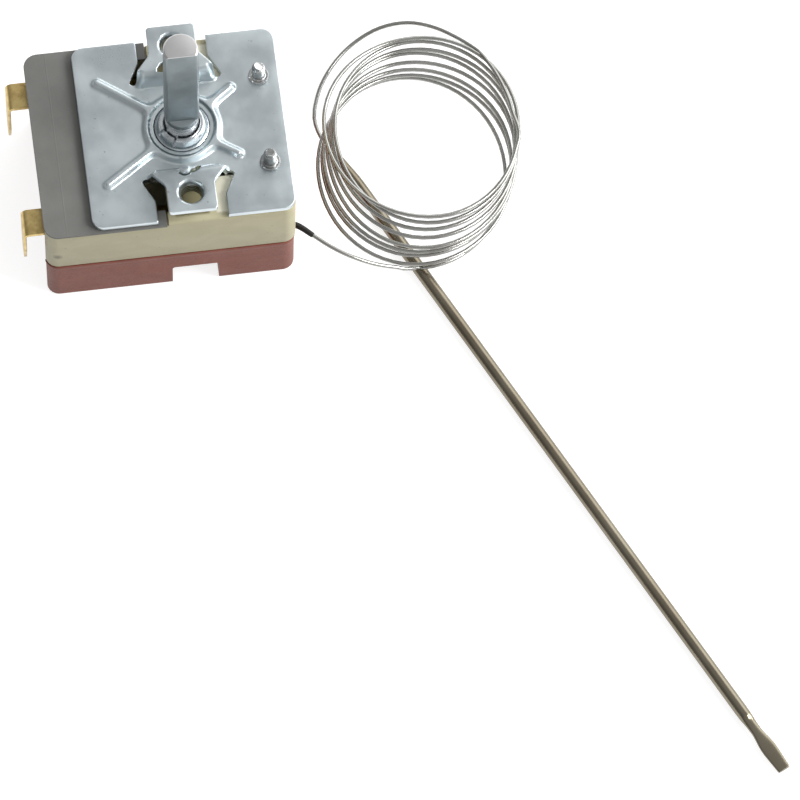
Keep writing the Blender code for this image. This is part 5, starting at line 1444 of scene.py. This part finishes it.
@dataclass
class TieRivets:
    """The two rivets that hold plate, housing and base together: collar, stud and snapped tip."""

    place: float = RIVET_X
    spacing: float = 2 * RIVET_Y
    head_bottom: float = 0.5
    head_top: float = 1.9
    head_radius: float = 2.9
    shank: float = 1.25
    collar_bottom: float = 24.42
    collar_radius: float = 1.75
    collar_height: float = 0.55
    stud_height: float = 2.6
    tip_height: float = 0.6
    tip_slant: Point = (0.28, 0.12)

    def build(self, shop: FinishShop) -> None:
        """Turn one rivet, set it in both places and fit it."""
        collar_top = self.collar_bottom + self.collar_height
        stud_top = collar_top + self.stud_height
        profile = [
            (0.0, self.head_bottom), (self.head_radius - 0.35, self.head_bottom),
            (self.head_radius - 0.1, self.head_bottom + 0.1), (self.head_radius, self.head_bottom + 0.35),
            (self.head_radius, self.head_top), (self.shank, self.head_top), (self.shank, self.collar_bottom),
            (self.collar_radius - 0.1, self.collar_bottom), (self.collar_radius, self.collar_bottom + 0.12),
            (self.collar_radius - 0.02, collar_top - 0.16), (self.collar_radius - 0.16, collar_top),
            (self.shank + 0.05, collar_top - 0.02), (self.shank - 0.1, collar_top + 0.1),
            (self.shank - 0.12, stud_top - 0.2), (self.shank - 0.2, stud_top), (0.9, stud_top + 0.1),
            (0.82, stud_top + 0.3), (0.7, stud_top + self.tip_height),
            (0.0, stud_top + self.tip_height - 0.1),
        ]
        rivet = Draft.turned(profile, 56).make("tie_rivets")
        for vert in rivet.data.vertices:
            if vert.co.z > (stud_top + 0.2) * MM:
                vert.co.z += vert.co.x * self.tip_slant[0] + vert.co.y * self.tip_slant[1]
        works = NodeWorks("rivet pair")
        pitch, place = works.sizes(self, "spacing", "place")
        seed = works.size("Seed", 7, "NodeSocketInt")
        line = works.node("GeometryNodeMeshLine", {
            "Count": 2, "Start Location": works.vector(place, pitch * -0.5, 0.0),
            "Offset": works.vector(0.0, pitch, 0.0),
        })
        turn = works.value("FunctionNodeRandomValue", {"Seed": seed, 3: 2 * math.pi}, 1, data_type="FLOAT")
        spots = works.node("GeometryNodeInstanceOnPoints", {
            "Points": line.outputs[0], "Instance": works.source.outputs[0],
            "Rotation": works.vector(0.0, 0.0, turn),
        })
        pair = works.run(spots.outputs[0], rivet, shop.material(Slot.TURNED))
        fit_piece(pair, "base", Slot.TURNED, ("tie_rivet_front", "tie_rivet_rear"), shop)


@dataclass
class BodyMouldings:
    """The red base cover, the cream housing on it and the grey sheet under the plate."""

    left: float = -25.2
    right: float = 17.6
    half_depth: float = HALF_DEPTH
    corner: float = 2.2
    wall: float = 2.2
    recess: float = 0.95
    recess_front: float = -15.2
    seam: float = 10.85
    lip: float = 1.0
    housing_bottom: float = 11.15
    housing_top: float = 23.1
    housing_round: float = 0.5
    base_short: float = 0.2
    foot_round: float = 0.45
    base_floor: float = 2.5
    # Each row has the base rim's inset and its height.
    rim: tuple[Point, ...] = (
        (0.04, 9.7), (0.0, 10.0), (-0.06, 10.12), (-0.09, 10.25), (-0.09, 10.7), (-0.06, 10.8), (0.02, 10.85),
    )
    notch_sides: Point = (-3.7, 4.25)
    notch_height: float = 5.8
    notch_depth: float = 3.0
    notch_corner: float = 0.5
    notch_wall: float = 1.4
    screw_x: float = -18.5
    screw_recess: float = 2.9
    rivet_recess: float = 3.2
    recess_top: float = 2.2
    post_radius: float = 3.6
    post_top: float = 10.0
    mouth_place: Point = (-13.2, 9.6)
    mouth_radius: float = 0.9
    mouth_top: float = 12.0
    mouth_depth: float = 3.4
    housing_floor: float = 13.15
    housing_post: float = 3.0
    housing_post_bottom: float = 12.0
    rivet_hole: float = 1.55
    seat_right: float = -4.2
    seat_bottom: float = 22.4
    ledge_left: float = -4.0
    ledge_inner: float = 9.2
    ledge_thickness: float = 1.4
    slot_place: float = 12.0
    slot_half: float = 2.7
    slot_depth: float = 3.2
    slot_levels: Point = (18.1, 19.5)
    sheet_left: float = -25.3
    sheet_right: float = -4.5
    sheet_half: float = 17.5
    sheet_corner: float = 2.4
    sheet_clearance: float = 7.7
    sheet_levels: Point = (22.7, 23.1)
    window_x: Point = (-8.3, -4.0)
    window_y: Point = (8.9, 14.4)

    def build(self, shop: FinishShop) -> None:
        """Mould all three pieces and fit them."""
        for piece, slot, node in ((self.mould_base(), Slot.RED, "base_cover"),
                                  (self.mould_housing(), Slot.CREAM, "upper_housing"),
                                  (self.cut_sheet(), Slot.SHEET, "insulating_sheet")):
            fit_piece(piece, "base", slot, (node,), shop)

    def plan(self, inset: float, short: float = 0.0) -> list[Point]:
        """Return the body's outline, moved in by inset, and short of its right side."""
        return round_corners(self.left + inset, self.right - short - inset, -self.half_depth + inset,
                             self.half_depth - inset, max(self.corner - inset, 0.5), 14)

    def column(self, inset: float, bottom: float, top: float) -> Draft:
        """Return a helper body with the outline moved in by inset, between two levels."""
        return Draft.layered([(self.plan(inset), bottom), (self.plan(inset), top)])

    def side_recess(self, bottom: float, top: float) -> Draft:
        """Return the shallow recess in the terminal side, from its front corner to past the rear one."""
        return Draft.block((self.left - 1.0, self.recess_front, bottom),
                           (self.left + self.recess, self.half_depth + 1.0, top))

    def mould_base(self) -> Piece:
        """Mould the base cover with its rounded foot, its proud rim, its notch and its recesses."""
        foot = self.foot_round
        rows = [(foot + 0.1 - foot * math.sin(math.radians(a)), foot - foot * math.cos(math.radians(a)))
                for a in (0, 15, 30, 45, 60, 75, 90)]
        layers = [(self.plan(inset, self.base_short), level) for inset, level in [*rows, *self.rim]]
        left, right = self.notch_sides
        height, depth, corner = self.notch_height, self.notch_depth, self.notch_corner
        notch = [(left, -1.0), (right, -1.0)]
        notch += arc((right - corner, height - corner), corner, 0.0, 90.0, 10)
        notch += arc((left + corner, height - corner), corner, 90.0, 180.0, 10)
        front, wall, sunk = -self.half_depth, self.notch_wall, self.base_floor - 0.5
        joins = [Draft.block((left - wall, front + 1.0, sunk),
                             (right + wall, front + depth + wall, height + wall))]
        cuts = [
            self.column(self.lip, self.seam - 0.6, self.seam + 1.0),
            Draft.layered([(notch, front - 1.0), (notch, front + depth)], Axis.Y),
        ]
        for side in (-1.0, 1.0):
            spot = (RIVET_X, side * RIVET_Y)
            cuts.append(Draft.post(spot, self.rivet_recess, -1.0, self.recess_top))
            joins.append(Draft.post(spot, self.post_radius, sunk, self.post_top))
        cuts += [Draft.post((self.screw_x, 0.0), self.screw_recess, -1.0, self.recess_top),
                 self.side_recess(-1.0, self.seam + 1.0)]
        mouth = arc(self.mouth_place, self.mouth_radius, 180.0, 360.0, 18)
        mouth += [(self.mouth_place[0] + side * self.mouth_radius, self.mouth_top) for side in (1.0, -1.0)]
        mouth_start = self.right - self.mouth_depth
        cuts.append(Draft.layered([(mouth, mouth_start), (mouth, self.right + 1.0)], Axis.X))
        base = Draft.layered(layers).make("base_cover_moulding")
        base = carved(base, [self.column(self.wall, self.base_floor, self.seam + 1.0)], [])
        return carved(base, cuts, joins)

    def mould_housing(self) -> Piece:
        """Mould the cream housing with its lip, rounded edges, sheet recess, ledges and strip slots."""
        bottom, top, edge = self.housing_bottom, self.housing_top, self.housing_round
        rows = [(1.3, bottom - 0.6), (1.3, bottom), (0.12, bottom), (0.03, bottom + 0.04),
                (0.0, bottom + 0.12)]
        rows += [(edge - edge * math.cos(math.radians(a)), top - edge + edge * math.sin(math.radians(a)))
                 for a in (0, 20, 40, 60, 80, 90)]
        joins = []
        cuts = [
            Draft.block((self.left - 1.0, -self.half_depth - 1.0, self.seat_bottom),
                        (self.seat_right, self.half_depth + 1.0, top + 1.0)),
            self.side_recess(bottom - 1.0, top + 1.0),
        ]
        low, high = self.slot_levels
        for side in (-1.0, 1.0):
            near, far = sorted((side * self.ledge_inner, side * (self.half_depth - self.wall + 0.5)))
            joins.append(Draft.block((self.ledge_left, near, top - self.ledge_thickness),
                                     (self.right - self.wall + 0.5, far, top)))
            spot = (RIVET_X, side * RIVET_Y)
            joins.append(Draft.post(spot, self.housing_post, self.housing_post_bottom, top))
            cuts.append(Draft.post(spot, self.rivet_hole, bottom - 1.0, top + 1.0, 32))
            middle = side * self.slot_place
            cuts.append(Draft.block((self.left - 1.0, middle - self.slot_half, low),
                                    (self.left + self.slot_depth, middle + self.slot_half, high)))
        layers = [(self.plan(inset), level) for inset, level in rows]
        housing = Draft.layered(layers).make("upper_housing_moulding")
        housing = carved(housing, [self.column(self.wall, self.housing_floor, top + 1.0)], [])
        return carved(housing, cuts, joins)

    def cut_sheet(self) -> Piece:
        """Cut the insulating sheet, with its clearance round the bush and a window beside each tab."""
        left, right, half, corner = self.sheet_left, self.sheet_right, self.sheet_half, self.sheet_corner
        start = math.degrees(math.acos(right / self.sheet_clearance))
        outline = arc((left + corner, -half + corner), corner, 180.0, 270.0, 12) + [(right, -half)]
        outline += arc((0.0, 0.0), self.sheet_clearance, 360.0 - start, start, 24) + [(right, half)]
        outline += arc((left + corner, half - corner), corner, 90.0, 180.0, 12)
        bottom, top = self.sheet_levels
        sheet = Draft.layered([(outline, bottom), (outline, top)]).make("insulating_sheet_cut")
        (low_x, high_x), (low_y, high_y) = self.window_x, self.window_y
        windows = [Draft.block((low_x, near, bottom - 1.0), (high_x, far, top + 1.0))
                   for near, far in ((low_y, high_y), (-high_y, -low_y))]
        return bevelled(carved(sheet, windows, []), 0.05, 1, 50.0)


@dataclass
class BladeTerminals:
    """The two brass strips that end in bent blades outside the housing."""

    leg_x: float = -28.3
    side_y: float = 12.0
    exit_z: float = 18.8
    # Each strip has a name, a side, the height of its inner end and how far its blade hangs down.
    strips: tuple[tuple[str, float, float, float], ...] = (
        ("terminal_front", -1.0, 14.8, 10.8), ("terminal_rear", 1.0, 15.8, 12.4),
    )
    thickness: float = 0.8
    leg_thickness: float = 0.5
    width: float = 4.8
    # The widths of the blade's first two sections, at its tip and at the tip's height above it.
    tip_widths: Point = (2.0, 2.84)
    tip_height: float = 0.5
    taper: float = 4.5
    bend: float = 0.8
    # Where the strip starts and ends its step down inside the housing.
    step_x: Point = (-20.9, -18.0)
    inner_end: float = 2.6

    def build(self, shop: FinishShop) -> None:
        """Bend both strips and fit them."""
        for name, side, strip_z, drop in self.strips:
            strip = Draft.lofted(self.layers(side, strip_z, drop)).make(name + "_strip")
            fit_piece(bevelled(strip, 0.11, 3, 40.0), "base", Slot.BRASS, (name,), shop)

    def layers(self, side: float, strip_z: float, drop: float) -> list[list[Place]]:
        """Return the strip's sections from the blade's tip to its inner end."""
        tip_z = self.exit_z + self.thickness / 2 - drop
        path = [(self.leg_x, tip_z + rise) for rise in (0.0, self.tip_height, self.taper)]
        path += arc((self.leg_x + self.bend, self.exit_z - self.bend), self.bend, 180.0, 90.0, 10)
        path += [(self.step_x[0], self.exit_z), (self.step_x[1], strip_z), (self.inner_end, strip_z)]
        middle = side * self.side_y
        rings = []
        for i, (x, z) in enumerate(path):
            before, after = path[max(i - 1, 0)], path[min(i + 1, len(path) - 1)]
            along = Vector((after[0] - before[0], after[1] - before[1])).normalized()
            normal = Vector((-along.y, along.x))
            half = (self.tip_widths[i] if i < 2 else self.width) / 2
            grown = min(max((i - 3) / 10, 0.0), 1.0)
            thick = self.leg_thickness + (self.thickness - self.leg_thickness) * grown
            outer = normal * (self.thickness / 2)
            inner = normal * (thick - self.thickness / 2)
            rings.append([
                (x - inner.x, middle - half, z - inner.y), (x + outer.x, middle - half, z + outer.y),
                (x + outer.x, middle + half, z + outer.y), (x - inner.x, middle + half, z - inner.y),
            ])
        return rings


@dataclass
class CapillarySleeve:
    """The short black sleeve that guides the capillary out of the base."""

    route: tuple[Place, ...] = (
        (15.0, -13.1, 9.6), (17.1, -13.2, 9.6), (18.5, -13.8, 9.6), (20.6, -15.7, 9.5),
    )
    radius: float = 0.62
    tip_radius: float = 0.46
    # How much of its radius is left at each end's rounded edge.
    end_shares: Point = (0.8, 0.82)
    spacing: float = 0.25
    sides: int = 28

    def build(self, shop: FinishShop) -> None:
        """Sweep the sleeve and fit it."""
        path = smooth_path(list(self.route), self.spacing)
        last = len(path) - 1
        radii = [self.radius + (self.tip_radius - self.radius) * i / last for i in range(last + 1)]
        radii[0] *= self.end_shares[0]
        radii[-1] *= self.end_shares[1]
        sleeve = Draft.tube(path, radii, self.sides).make("capillary_sleeve_tube", 50.0)
        fit_piece(sleeve, "base", Slot.SLEEVE, ("capillary_sleeve",), shop)


class InnerPieces:
    """The pieces inside the body, which keep their CAD shapes and get their finishes."""

    SLOTS = {
        "stop_disc": Slot.TURNED,
        "thrust_cap": Slot.CERAMIC,
        "contact_blade": Slot.BRONZE,
        "moving_contact": Slot.SILVER,
        "fixed_contact": Slot.SILVER,
        "blade_rivet": Slot.BRASS,
        "terminal_rivet_front": Slot.BRASS,
        "terminal_rivet_rear": Slot.BRASS,
        "plunger": Slot.CERAMIC,
        "diaphragm_capsule": Slot.CAPILLARY,
        "capillary_inner": Slot.CAPILLARY,
        "base_screw": Slot.TURNED,
    }

    def build(self, nodes: dict[str, Piece], shop: FinishShop) -> None:
        """Give each inner node its material.

        Args:
            nodes: The frame's nodes by name.
            shop: Where the materials come from.
        """
        for name, slot in self.SLOTS.items():
            for material_slot in nodes[name].material_slots:
                material_slot.material = shop.material(slot)
            LOG.info("%s keeps its CAD shape in %s", name, slot.value)


def main() -> None:
    """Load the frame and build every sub-assembly in order."""
    logging.basicConfig(level=logging.INFO, format="%(message)s")
    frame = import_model()
    shop = FinishShop()
    Studio().build()
    for assembly in (Capillary(), CapillarySleeve(), MountingPlate(), ThreadedBush(), Spindle(), TieRivets(),
                     BodyMouldings(), BladeTerminals()):
        assembly.build(shop)
    InnerPieces().build(frame["nodes"], shop)


if __name__ == "__main__":
    main()
